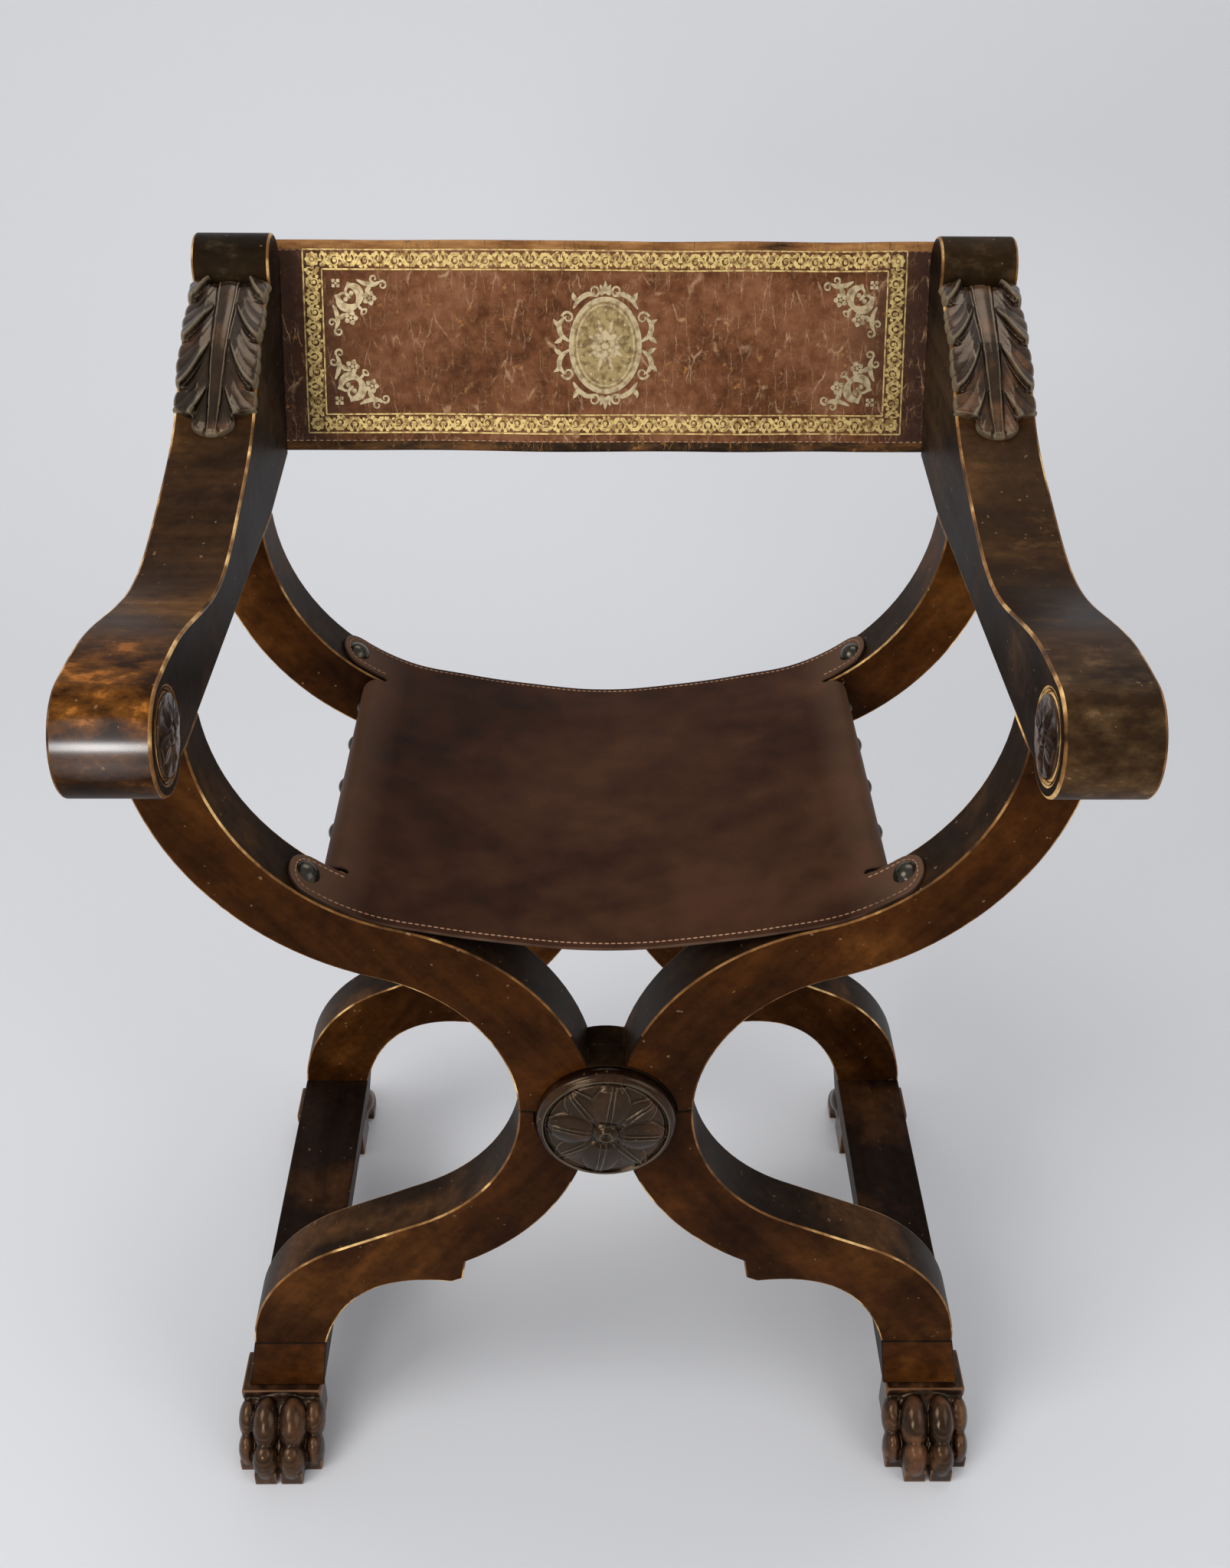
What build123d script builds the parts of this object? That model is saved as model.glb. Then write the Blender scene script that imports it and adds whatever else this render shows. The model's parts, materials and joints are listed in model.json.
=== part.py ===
"""Folding armchair with two X frames, sawn scroll arms, lion-paw feet and a slung leather seat.

All sizes are in millimetres.  X is across the chair, Y runs from front to back, Z is up.
The pieces are drawn with the front frame's front face at y = 0 and the floor at z = 0,
and the whole chair is moved at the end so that the origin is under the middle of its box.
"""
import os
from math import asin, atan2, cos, degrees, hypot, radians, sin, sqrt

from build123d import *

os.makedirs("parts", exist_ok=True)

# ---------------------------------------------------------------- driving dimensions
# overall layout; each height is counted from the piece below
ARM_INSIDE = 244.4          # inner face of an arm, from the centre plane
ARM_WIDTH = 56.2            # thickness of the plank an arm is sawn from
FRAME_SPACING = 280.0       # front frame to rear frame, front face to front face
MEMBER_T = 40.0             # thickness of an X member, front to back
PAW_H = 55.0                # floor to the runner's underside
RUNNER_H = 50.0
PIVOT_RISE = 237.0          # runner's top to the pivot
BOWL_RISE = 158.0           # pivot to the lowest point of the bowl
ARM_RISE = 140.0            # lowest point of the bowl to the arm's underside

# X member: upper half is a bowl-shaped arm, lower half a leg with a knee
BOWL_R = 150.0              # inner (upper) edge of the bowl
BOWL_W = 42.0               # width of the member round the bowl
BOWL_PAST = 0.6             # the bowl's widest point lies this far past the arm's inner face
NOTCH_R = 165.0             # shoulder arc that runs down into the upper notch
NOTCH_HALF = 6.38           # half the width of the notch at its narrowest
WAIST_HALF = 59.0           # half the width of the crossing at the waist
WAIST_RISE = 6.0            # the waist lies this far above the pivot
LEG_W = 50.0                # width of the leg below the waist
KNEE_OUT = 264.0            # the knee's outermost point, from the centre plane
KNEE_DROP = 5.0             # the knee arc's centre lies this far below the runner's top
SHIN = 68.67                # straight length between the waist arc and the knee arc
CUSP_X = 101.0              # small spur cut on the leg's lower edge
CUSP_DROP = 18.0
CUSP_STEP = 11.0
ARCH_STEP = 52.0            # from the spur's end to the crest of the flat arch
ARCH_DROP = 4.57
FOOT_W = 54.0               # width of the leg where it stands on the runner

# half-lap hub at the crossing
HUB_R = 48.0
HUB_GAP = 0.3               # running gap round the hub
LAP_GAP = 0.2               # gap between the two halves of the lap
STOP_GAP = 0.3              # gap at the shoulders that meet when the chair stands open
PIN_R = 6.0
PIN_GAP = 0.05

# pivot hardware and bosses
HEAD_R = 11.0
HEAD_H = 7.0
WASHER_R = 14.0
WASHER_T = 1.6
NUT_FLATS = 19.0
NUT_H = 9.0
PIN_TAIL = 3.0
WASHER_GAP = 0.1
BOSS_R = 47.5               # outer radius of the ring of the carved boss
BOSS_RING_T = 10.0
BOSS_RIM = 4.5              # the dome starts this far inside the ring's outer edge
BOSS_STEP = 2.0             # and this far below its crown
BOSS_DOME_H = 17.0
BEAD_R = 8.0
BEAD_SINK = 1.4              # how far the bead's centre lies below the crown of the dome
CAP_DOME_H = 11.0           # plainer cap on the rear crossing

# arm profile, seen from the side
SCROLL_Y = -31.0
SCROLL_UP = 28.0            # centre of the scroll above the arm's underside
SCROLL_R = 35.0
ROLL_R = 24.0               # backward roll at the top of the post
POST_BACK = 82.0            # lower rear corner of the post: behind the frames
POST_UP = 10.0              # and above the arm's underside
POST_LEAN = 20.0            # degrees from upright
POST_FACE = 137.0           # length of the post's flat rear face
ARM_DIP = [(20, 60.5), (138, 36)]      # top edge: from the front frame's face, above the underside
ARM_CLIMB = [(-178.35, -85.93), (-113.35, -60.93), (-58.35, -21.93), (-18.35, -3.93)]  # from the cove
COVE_ANGLE = 17.0           # where the post's front meets the roll
ROSETTE_SINK = 1.5          # sunk ring round the rosette on the scroll's sides
ROSETTE_R = 27.0
ROSETTE_RING = 3.0

# runner and paws
RUNNER_FLARE = 9.5          # how far the runner's outer face leans out over its height
RUNNER_LEAN = 6.0           # how far its inner face leans the same way
PAW_W = 64.0
PAW_SHIFT = 4.0             # the paws stand this far outside the runner's middle
PAW_REACH = 50.0            # toes in front of the runner
PAW_BACK = 34.0
PAW_HEEL = 6.0              # slope of the heel
PAW_BROW = -8.0             # where the instep starts
PAW_INSTEP = 34.1           # height of the instep above the middle of the toes
PAW_INSET = 3.0             # the block is this much narrower than the toes on each side
TOE_R = 9.0
TOE_SLOPE = 0.75
TOE_RISE = 30.0
OUTER_TOE_BACK = 11.0
OUTER_TOE_DROP = 6.0

# seat
SEAT_JOIN_STEP = 18.63      # the hanging leather meets the frames this far outside their shoulders
RAIL_LIP = 4.0              # the rails start this far inside that line
RAIL_W = 34.0
RAIL_DROP = 18.0            # underside of the rails, below the lowest point of the bowl
RAIL_ROUND = 8.0
LEATHER_T = 2.5
LEATHER_GAP = 0.3
SEAT_SAG = 13.0             # underside of the leather in mid seat, below the lowest point of the bowl
SAG_SHAPE = [(0.4, 0.22), (0.73, 0.58)]     # share of the half span, share of the rise
SEAT_HEM = 1.0              # the hem stops this far inside the frames' outer faces
SEAT_WRAP = 7.0             # lower edge of the leather, above the underside of the rails
TAB_REACH = 18.0            # the corner tabs end this far outside the rails
TAB_HEM = 3.0
TAB_FLAT = 4.0              # straight part in the middle of a tab's round end

# back
BACK_H = 155.0
BACK_START = 3.0            # the leather's lower edge, up from the foot of the posts
BACK_LAP = 40.0             # leather behind each post

# nails
SEAT_NAILS = 5
SEAT_NAIL_R = 7.0
SEAT_NAIL_UP = 22.0         # above the underside of the rails
TAB_NAIL_R = 8.5
TAB_NAIL_OUT = 8.0          # outside the rails
TAB_NAIL_Y = 21.0
TAB_NAIL_LIFT = 0.3         # a flat head on hollow leather stands on its rim
BACK_NAILS = 5
BACK_NAIL_R = 5.0
SHANK_R = 1.6
SHANK_L = 12.0
NAIL_FIT = 0.2
SEAT_NAIL_H = 4.5
TAB_NAIL_H = 5.0
BACK_NAIL_H = 3.0
SEAT_NAIL_END = 11.0        # from a frame's face to the nearest side nail
BACK_NAIL_END = 14.0

# dowels
DOWEL_R = 5.0
DOWEL_L = 40.0
DOWEL_FIT = 0.15
DOWEL_PAIR = 10.0           # half the distance between the two dowels of an arm joint
PAW_DOWEL_Y = 14.0

# ---------------------------------------------------------------- derived places
ARM_OUTSIDE = ARM_INSIDE + ARM_WIDTH
REAR_Y = FRAME_SPACING + MEMBER_T            # rear face of the rear frame
MID_Y = REAR_Y / 2
RUNNER_TOP_Z = PAW_H + RUNNER_H
PIVOT_Z = RUNNER_TOP_Z + PIVOT_RISE
WAIST_Z = PIVOT_Z + WAIST_RISE
BOWL_Z = PIVOT_Z + BOWL_RISE                 # lowest point of the bowl
ARM_UNDERSIDE_Z = BOWL_Z + ARM_RISE
BOWL_CX = ARM_INSIDE + BOWL_PAST - BOWL_R
BOWL_CZ = BOWL_Z + BOWL_R
BOWL_RO = BOWL_R + BOWL_W
NOTCH_CX = NOTCH_HALF + NOTCH_R
NOTCH_CZ = BOWL_CZ - sqrt((BOWL_R + NOTCH_R) ** 2 - (NOTCH_CX - BOWL_CX) ** 2)
SHOULDER_X = BOWL_CX + (NOTCH_CX - BOWL_CX) * BOWL_R / (BOWL_R + NOTCH_R)
WAIST_R = ((BOWL_CZ - WAIST_Z) ** 2 + (BOWL_CX - WAIST_HALF) ** 2 - BOWL_RO ** 2) / (
    2 * (BOWL_RO + BOWL_CX - WAIST_HALF))
WAIST_CX = WAIST_HALF + WAIST_R
LEG_R = WAIST_R + LEG_W
KNEE_CZ = RUNNER_TOP_Z - KNEE_DROP
KNEE_R = ((WAIST_CX - KNEE_OUT) ** 2 + (WAIST_Z - KNEE_CZ) ** 2 - SHIN ** 2 - WAIST_R ** 2) / (
    2 * (WAIST_R + KNEE_OUT - WAIST_CX))
KNEE_CX = KNEE_OUT - KNEE_R
FOOT_OUT = KNEE_CX + sqrt(KNEE_R ** 2 - KNEE_DROP ** 2)
FOOT_IN = FOOT_OUT - FOOT_W
PAW_X = (FOOT_IN + RUNNER_LEAN + FOOT_OUT + RUNNER_FLARE) / 2 + PAW_SHIFT
SCROLL_Z = ARM_UNDERSIDE_Z + SCROLL_UP
POST_FOOT_Y = REAR_Y + POST_BACK
POST_FOOT_Z = ARM_UNDERSIDE_Z + POST_UP
POST_DIR = (sin(radians(POST_LEAN)), cos(radians(POST_LEAN)))
POST_NORMAL = (-POST_DIR[1], POST_DIR[0])    # points forward, out of the post's rear face
ROLL_Y = POST_FOOT_Y + POST_FACE * POST_DIR[0] + ROLL_R * POST_NORMAL[0]
ROLL_Z = POST_FOOT_Z + POST_FACE * POST_DIR[1] + ROLL_R * POST_NORMAL[1]
SEAT_JOIN_X = SHOULDER_X + SEAT_JOIN_STEP
RAIL_X = SEAT_JOIN_X - RAIL_LIP + RAIL_W     # outer face of a seat rail
RAIL_BOTTOM_Z = BOWL_Z - RAIL_DROP
SEAT_NAIL_Z = RAIL_BOTTOM_Z + SEAT_NAIL_UP
TAB_NAIL_X = RAIL_X + TAB_NAIL_OUT
LEATHER_R = BOWL_R - LEATHER_GAP             # underside of the leather where it lies on a frame
BOSS_DOME_R = BOSS_R - BOSS_RIM


# ---------------------------------------------------------------- small helpers
def on_circle(cx, cz, r, angle):
    """Point of a circle at an angle in degrees, counted from +X towards +Z."""
    return (cx + r * cos(radians(angle)), cz + r * sin(radians(angle)))


def angle_of(cx, cz, p):
    return degrees(atan2(p[1] - cz, p[0] - cx))


def towards(c1, c2, r):
    """Point at distance r from c1 in the direction of c2."""
    d = hypot(c2[0] - c1[0], c2[1] - c1[1])
    return (c1[0] + (c2[0] - c1[0]) * r / d, c1[1] + (c2[1] - c1[1]) * r / d)


def crossing(c1, r1, c2, r2, upper):
    """Where two circles in the XZ plane cross; the higher or the lower of the two points."""
    dx, dz = c2[0] - c1[0], c2[1] - c1[1]
    d = hypot(dx, dz)
    a = (r1 ** 2 - r2 ** 2 + d ** 2) / (2 * d)
    h = sqrt(r1 ** 2 - a ** 2)
    mid = (c1[0] + a * dx / d, c1[1] + a * dz / d)
    both = [(mid[0] + s * h * dz / d, mid[1] - s * h * dx / d) for s in (1, -1)]
    return max(both, key=lambda p: p[1]) if upper else min(both, key=lambda p: p[1])


def cross_tangent(c1, r1, c2, r2):
    """End points of the line that touches circle 1 on its left and runs down on to circle 2."""
    base = angle_of(*c1, c2)
    turn = degrees(asin((r1 + r2) / hypot(c2[0] - c1[0], c2[1] - c1[1])))
    a1 = base - 90 + turn
    return on_circle(*c1, r1, a1), on_circle(*c2, r2, a1 + 180)


def arc(cx, cz, r, p, q, clockwise=False):
    """Arc of a circle from p to q."""
    a, b = angle_of(cx, cz, p), angle_of(cx, cz, q)
    sweep = (b - a) % 360
    if clockwise:
        sweep -= 360
    return ThreePointArc(p, on_circle(cx, cz, r, a + sweep / 2), q)


def plate_xz(face, y0, y1):
    """Extrude a face drawn in X and Z between two depths."""
    return extrude(Plane.XZ.offset(-y0) * face, amount=-(y1 - y0))


def plate_yz(face, x0, x1):
    """Extrude a face drawn in Y and Z between two places across the chair."""
    return extrude(Plane.YZ.offset(x0) * face, amount=x1 - x0)


def rod(p, axis, r, length):
    """Cylinder that starts at p and runs along an axis."""
    return Plane(origin=p, z_dir=axis) * Cylinder(
        r, length, align=(Align.CENTER, Align.CENTER, Align.MIN))


def group(solids):
    """One solid as it is, or several kept together as separate solids."""
    return solids[0] if len(solids) == 1 else Compound(children=solids)


def left(shape):
    return group([solid.mirror(Plane.YZ) for solid in shape.solids()])


def rear(shape):
    return group([solid.mirror(Plane.XZ.offset(-MID_Y)) for solid in shape.solids()])


# ---------------------------------------------------------------- nails and dowels
def nail(p, axis, head_r, head_h):
    """Domed nail whose head sits on p, with the shank running back along the axis."""
    cap_r = (head_r ** 2 + head_h ** 2) / (2 * head_h)
    crown = Plane.XZ * make_face([
        Line((0, -SHANK_L), (SHANK_R, -SHANK_L)),
        Line((SHANK_R, -SHANK_L), (SHANK_R, 0)),
        Line((SHANK_R, 0), (head_r, 0)),
        arc(0, head_h - cap_r, cap_r, (head_r, 0), (0, head_h)),
        Line((0, head_h), (0, -SHANK_L)),
    ])
    return Plane(origin=p, z_dir=axis) * revolve(crown, Axis.Z)


def shank_hole(p, axis):
    """Hole for one nail's shank, from the underside of the head inwards."""
    back = tuple(-a for a in axis)
    return rod(p, back, SHANK_R + NAIL_FIT, SHANK_L + NAIL_FIT)


def seat_nail_places():
    """Five nails down the outer side of the right-hand rail."""
    first, last = MEMBER_T + SEAT_NAIL_END, REAR_Y - MEMBER_T - SEAT_NAIL_END
    step = (last - first) / (SEAT_NAILS - 1)
    x = RAIL_X + LEATHER_GAP + LEATHER_T
    return [((x, first + i * step, SEAT_NAIL_Z), (1, 0, 0)) for i in range(SEAT_NAILS)]


def tab_nail_places():
    """One large nail through each of the two right-hand corner tabs."""
    rise = sqrt(BOWL_R ** 2 - (TAB_NAIL_X - BOWL_CX) ** 2)
    inward = ((BOWL_CX - TAB_NAIL_X) / BOWL_R, 0, rise / BOWL_R)
    r = LEATHER_R - LEATHER_T - TAB_NAIL_LIFT
    x, z = BOWL_CX - r * inward[0], BOWL_CZ - r * inward[2]
    return [((x, y, z), inward) for y in (TAB_NAIL_Y, REAR_Y - TAB_NAIL_Y)]


def back_nail_places():
    """A row of small nails down the rear face of the right-hand post."""
    step = (POST_FACE - 2 * BACK_NAIL_END) / (BACK_NAILS - 1)
    depth = LEATHER_GAP + LEATHER_T
    x = ARM_INSIDE + BACK_LAP / 2
    rows = [BACK_NAIL_END + i * step for i in range(BACK_NAILS)]
    backwards = (0, -POST_NORMAL[0], -POST_NORMAL[1])
    return [((x, POST_FOOT_Y + s * POST_DIR[0] - depth * POST_NORMAL[0],
              POST_FOOT_Z + s * POST_DIR[1] - depth * POST_NORMAL[1]), backwards) for s in rows]


def shank_holes(places):
    return [shank_hole(p, axis) for p, axis in places]


def nails(places, head_r, head_h):
    return [nail(p, axis, head_r, head_h) for p, axis in places]


def dowel_places():
    """Right-hand dowels: (middle point, axis) for the arm, rail and foot joints."""
    arm_x = (BOWL_CX + (BOWL_R + BOWL_RO) / 2)
    rail = (RAIL_X - RAIL_W / 2, (RAIL_BOTTOM_Z + SEAT_NAIL_Z) / 2 + DOWEL_R)
    foot_x = (FOOT_IN + FOOT_OUT) / 2
    depths = (MEMBER_T / 2, REAR_Y - MEMBER_T / 2)
    return {
        "arm": [((arm_x, y + s * DOWEL_PAIR, ARM_UNDERSIDE_Z), (0, 0, 1)) for y in depths for s in (-1, 1)],
        "rail": [((rail[0], y, rail[1]), (0, 1, 0)) for y in (MEMBER_T, REAR_Y - MEMBER_T)],
        "foot": [((foot_x, y, RUNNER_TOP_Z), (0, 0, 1)) for y in depths],
        "paw": [((PAW_X, y, PAW_H), (0, 0, 1)) for y in (PAW_DOWEL_Y, REAR_Y - PAW_DOWEL_Y)],
    }


def dowel(p, axis, fit=0.0):
    """Dowel centred on p, or its hole when a fit is given."""
    start = tuple(c - a * (DOWEL_L / 2 + fit) for c, a in zip(p, axis))
    return rod(start, axis, DOWEL_R + fit, DOWEL_L + 2 * fit)


def dowels(kind):
    return [dowel(p, axis) for p, axis in dowel_places()[kind]]


def dowel_holes(kind):
    return [dowel(p, axis, DOWEL_FIT) for p, axis in dowel_places()[kind]]


# ---------------------------------------------------------------- X members
def arm_half():
    """Upper half of a member, on the +X side, from the pivot to the arm."""
    top_in = (BOWL_CX + sqrt(BOWL_R ** 2 - (BOWL_CZ - ARM_UNDERSIDE_Z) ** 2), ARM_UNDERSIDE_Z)
    top_out = (BOWL_CX + sqrt(BOWL_RO ** 2 - (BOWL_CZ - ARM_UNDERSIDE_Z) ** 2), ARM_UNDERSIDE_Z)
    bowl, notch, waist = (BOWL_CX, BOWL_CZ), (NOTCH_CX, NOTCH_CZ), (WAIST_CX, WAIST_Z)
    shoulder = towards(bowl, notch, BOWL_R)
    notch_end = crossing((0, PIVOT_Z), HUB_R, notch, NOTCH_R, upper=True)
    belly = towards(bowl, waist, BOWL_RO)
    waist_point = (WAIST_HALF, WAIST_Z)
    return make_face([
        Line(top_out, top_in),
        arc(*bowl, BOWL_R, top_in, shoulder, clockwise=True),
        arc(*notch, NOTCH_R, shoulder, notch_end),
        Line(notch_end, (0, PIVOT_Z)),
        Line((0, PIVOT_Z), waist_point),
        arc(*waist, WAIST_R, waist_point, belly, clockwise=True),
        arc(*bowl, BOWL_RO, belly, top_out),
    ])


def leg_half():
    """Lower half of a member, on the +X side, from the pivot to the runner."""
    waist, knee = (WAIST_CX, WAIST_Z), (KNEE_CX, KNEE_CZ)
    waist_point = on_circle(*waist, WAIST_R, 180 + degrees(STOP_GAP / WAIST_R))
    shin_top, shin_end = cross_tangent(waist, WAIST_R, knee, KNEE_R)
    notch_end = crossing((0, PIVOT_Z), HUB_R, waist, LEG_R, upper=False)
    cusp = (CUSP_X, WAIST_Z - sqrt(LEG_R ** 2 - (WAIST_CX - CUSP_X) ** 2))
    spur = (CUSP_X + CUSP_STEP / 4, cusp[1] - CUSP_DROP)
    spur_end = (CUSP_X + CUSP_STEP, spur[1] - CUSP_STEP / 3)
    arch = (spur_end[0] + ARCH_STEP, spur_end[1] - ARCH_DROP)
    foot_in, foot_out = (FOOT_IN, RUNNER_TOP_Z), (FOOT_OUT, RUNNER_TOP_Z)
    return make_face([
        Line((0, PIVOT_Z - STOP_GAP), waist_point),
        arc(*waist, WAIST_R, waist_point, shin_top),
        Line(shin_top, shin_end),
        arc(*knee, KNEE_R, shin_end, foot_out, clockwise=True),
        Line(foot_out, foot_in),
        Spline(foot_in, arch, spur_end, tangents=[(-0.25, 1), (-1, -0.15)]),
        Line(spur_end, spur),
        Line(spur, cusp),
        arc(*waist, LEG_R, cusp, notch_end, clockwise=True),
        Line(notch_end, (0, PIVOT_Z - STOP_GAP)),
    ])


def x_member(outer_lap):
    """Front member with its arm on +X and its leg on -X; the hub is half the thickness."""
    front, back = (0, (MEMBER_T - LAP_GAP) / 2), ((MEMBER_T + LAP_GAP) / 2, MEMBER_T)
    y0, y1 = front if outer_lap else back
    arm, leg = arm_half(), leg_half().mirror(Plane.YZ)
    body = plate_xz(arm, 0, MEMBER_T) + plate_xz(leg, 0, MEMBER_T)
    body -= rod((0, -1, PIVOT_Z), (0, 1, 0), HUB_R + HUB_GAP, MEMBER_T + 2)
    body += plate_xz(arm, y0, y1) + plate_xz(leg, y0, y1) + rod((0, y0, PIVOT_Z), (0, 1, 0), HUB_R, y1 - y0)
    body -= rod((0, -1, PIVOT_Z), (0, 1, 0), PIN_R + (0 if outer_lap else PIN_GAP), MEMBER_T + 2)
    for hole in shank_holes(tab_nail_places()[:1]) + dowel_holes("arm") + dowel_holes("rail"):
        body -= hole
    for hole in dowel_holes("foot"):
        body -= left(hole)
    return body


# ---------------------------------------------------------------- arms, rails, runners and paws
def arm_profile():
    """Side of an arm: scroll in front, dip for the forearm, post with a roll at the back."""
    throat = (SCROLL_Y + sqrt(SCROLL_R ** 2 - (SCROLL_Z - ARM_UNDERSIDE_Z) ** 2), ARM_UNDERSIDE_Z)
    crest = (SCROLL_Y, SCROLL_Z + SCROLL_R)
    cove = on_circle(ROLL_Y, ROLL_Z, ROLL_R, 180 + COVE_ANGLE)
    roll_end = on_circle(ROLL_Y, ROLL_Z, ROLL_R, -POST_LEAN)
    foot = (POST_FOOT_Y, POST_FOOT_Z)
    dip = [(y, ARM_UNDERSIDE_Z + up) for y, up in ARM_DIP]
    climb = [(cove[0] + y, cove[1] + z) for y, z in ARM_CLIMB]
    return make_face([
        ThreePointArc(throat, (SCROLL_Y - SCROLL_R, SCROLL_Z), crest),
        Spline(crest, *dip, *climb, cove, tangents=[(1, 0), (1, -0.15)]),
        arc(ROLL_Y, ROLL_Z, ROLL_R, cove, roll_end, clockwise=True),
        Line(roll_end, foot),
        Line(foot, (REAR_Y, ARM_UNDERSIDE_Z)),
        Line((REAR_Y, ARM_UNDERSIDE_Z), throat),
    ])


def arm():
    """Right-hand arm, sawn from one plank, with a ring sunk round each side of the scroll."""
    body = plate_yz(arm_profile(), ARM_INSIDE, ARM_OUTSIDE)
    ring = Circle(ROSETTE_R) - Circle(ROSETTE_R - ROSETTE_RING)
    ring = Location((SCROLL_Y, SCROLL_Z)) * ring
    body -= plate_yz(ring, ARM_INSIDE - 1, ARM_INSIDE + ROSETTE_SINK)
    body -= plate_yz(ring, ARM_OUTSIDE - ROSETTE_SINK, ARM_OUTSIDE + 1)
    for hole in shank_holes(back_nail_places()) + dowel_holes("arm"):
        body -= hole
    return body


def rail_profile():
    """Section of a seat rail; its top lies flush with the bowl of the frames."""
    x0, x1 = RAIL_X - RAIL_W, RAIL_X
    top_in = (x0, BOWL_CZ - sqrt(BOWL_R ** 2 - (x0 - BOWL_CX) ** 2))
    top_out = (x1, BOWL_CZ - sqrt(BOWL_R ** 2 - (x1 - BOWL_CX) ** 2))
    face = make_face([
        Line((x0, RAIL_BOTTOM_Z), (x1, RAIL_BOTTOM_Z)),
        Line((x1, RAIL_BOTTOM_Z), top_out),
        arc(BOWL_CX, BOWL_CZ, BOWL_R, top_out, top_in, clockwise=True),
        Line(top_in, (x0, RAIL_BOTTOM_Z)),
    ])
    corner = face.vertices().sort_by_distance((*top_out, 0))[0]
    return fillet(corner, RAIL_ROUND)


def seat_rail():
    body = plate_xz(rail_profile(), MEMBER_T, REAR_Y - MEMBER_T)
    for hole in shank_holes(seat_nail_places()) + dowel_holes("rail"):
        body -= hole
    return body


def runner():
    """Right-hand runner under both legs; its sides lean outwards."""
    section = make_face(Polyline(
        (FOOT_IN, RUNNER_TOP_Z), (FOOT_OUT, RUNNER_TOP_Z),
        (FOOT_OUT + RUNNER_FLARE, PAW_H), (FOOT_IN + RUNNER_LEAN, PAW_H), close=True))
    body = plate_xz(section, 0, REAR_Y)
    for hole in dowel_holes("foot") + dowel_holes("paw"):
        body -= hole
    return body


def toe(x, r, tip, rise):
    """One toe: a rounded knuckle that slopes down to a rounded tip."""
    low, high = (x, tip + r, r), (x, tip + r + rise * TOE_SLOPE, r + rise)
    length = hypot(rise * TOE_SLOPE, rise)
    side = make_face([
        Line((0, -r), (0, length + r)),
        ThreePointArc((0, length + r), (r * cos(radians(45)), length + r * sin(radians(45))), (r, length)),
        Line((r, length), (r, 0)),
        ThreePointArc((r, 0), (r * cos(radians(45)), -r * sin(radians(45))), (0, -r)),
    ])
    capsule = revolve(Plane.XZ * side, Axis.Z)
    axis = tuple((b - a) / length for a, b in zip(low, high))
    return Plane(origin=low, z_dir=axis) * capsule


def paw():
    """Right-hand front paw: a block under the runner with four toes."""
    half = PAW_W / 2
    heel = make_face([
        Line((PAW_BACK, 0), (PAW_BACK - PAW_HEEL, PAW_H)),
        Line((PAW_BACK - PAW_HEEL, PAW_H), (PAW_BROW, PAW_H)),
        ThreePointArc((PAW_BROW, PAW_H), (-PAW_REACH / 2, PAW_INSTEP),
                      (-PAW_REACH + TOE_R, 0)),
        Line((-PAW_REACH + TOE_R, 0), (PAW_BACK, 0)),
    ])
    body = plate_yz(heel, PAW_X - half + PAW_INSET, PAW_X + half - PAW_INSET)
    pitch = (PAW_W - 2 * TOE_R) / 3
    for i in range(4):
        outer = i in (0, 3)
        tip = -PAW_REACH + (OUTER_TOE_BACK if outer else 0)
        rise = TOE_RISE - (OUTER_TOE_DROP if outer else 0)
        body += toe(PAW_X - half + TOE_R + i * pitch, TOE_R, tip, rise)
    for hole in dowel_holes("paw")[:1]:
        body -= hole
    return body


# ---------------------------------------------------------------- pivot: bolt, washer, nut and bosses
def pivot_bolt():
    """Bolt whose head lies under the front boss; the nut is on the frame's inner face."""
    start = -HEAD_H
    end = MEMBER_T + WASHER_GAP + WASHER_T + NUT_H + PIN_TAIL
    shaft = rod((0, 0, PIVOT_Z), (0, 1, 0), PIN_R, end)
    return shaft + rod((0, start, PIVOT_Z), (0, 1, 0), HEAD_R, HEAD_H)


def washer():
    y = MEMBER_T + WASHER_GAP
    body = rod((0, y, PIVOT_Z), (0, 1, 0), WASHER_R, WASHER_T)
    return body - rod((0, y - 1, PIVOT_Z), (0, 1, 0), PIN_R + PIN_GAP, WASHER_T + 2)


def nut():
    y = MEMBER_T + WASHER_GAP + WASHER_T
    hexagon = RegularPolygon(NUT_FLATS / 2, 6, major_radius=False)
    body = extrude(Plane(origin=(0, y, PIVOT_Z), z_dir=(0, 1, 0)) * hexagon, amount=NUT_H)
    return body - rod((0, y - 1, PIVOT_Z), (0, 1, 0), PIN_R + PIN_GAP, NUT_H + 2)


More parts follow.
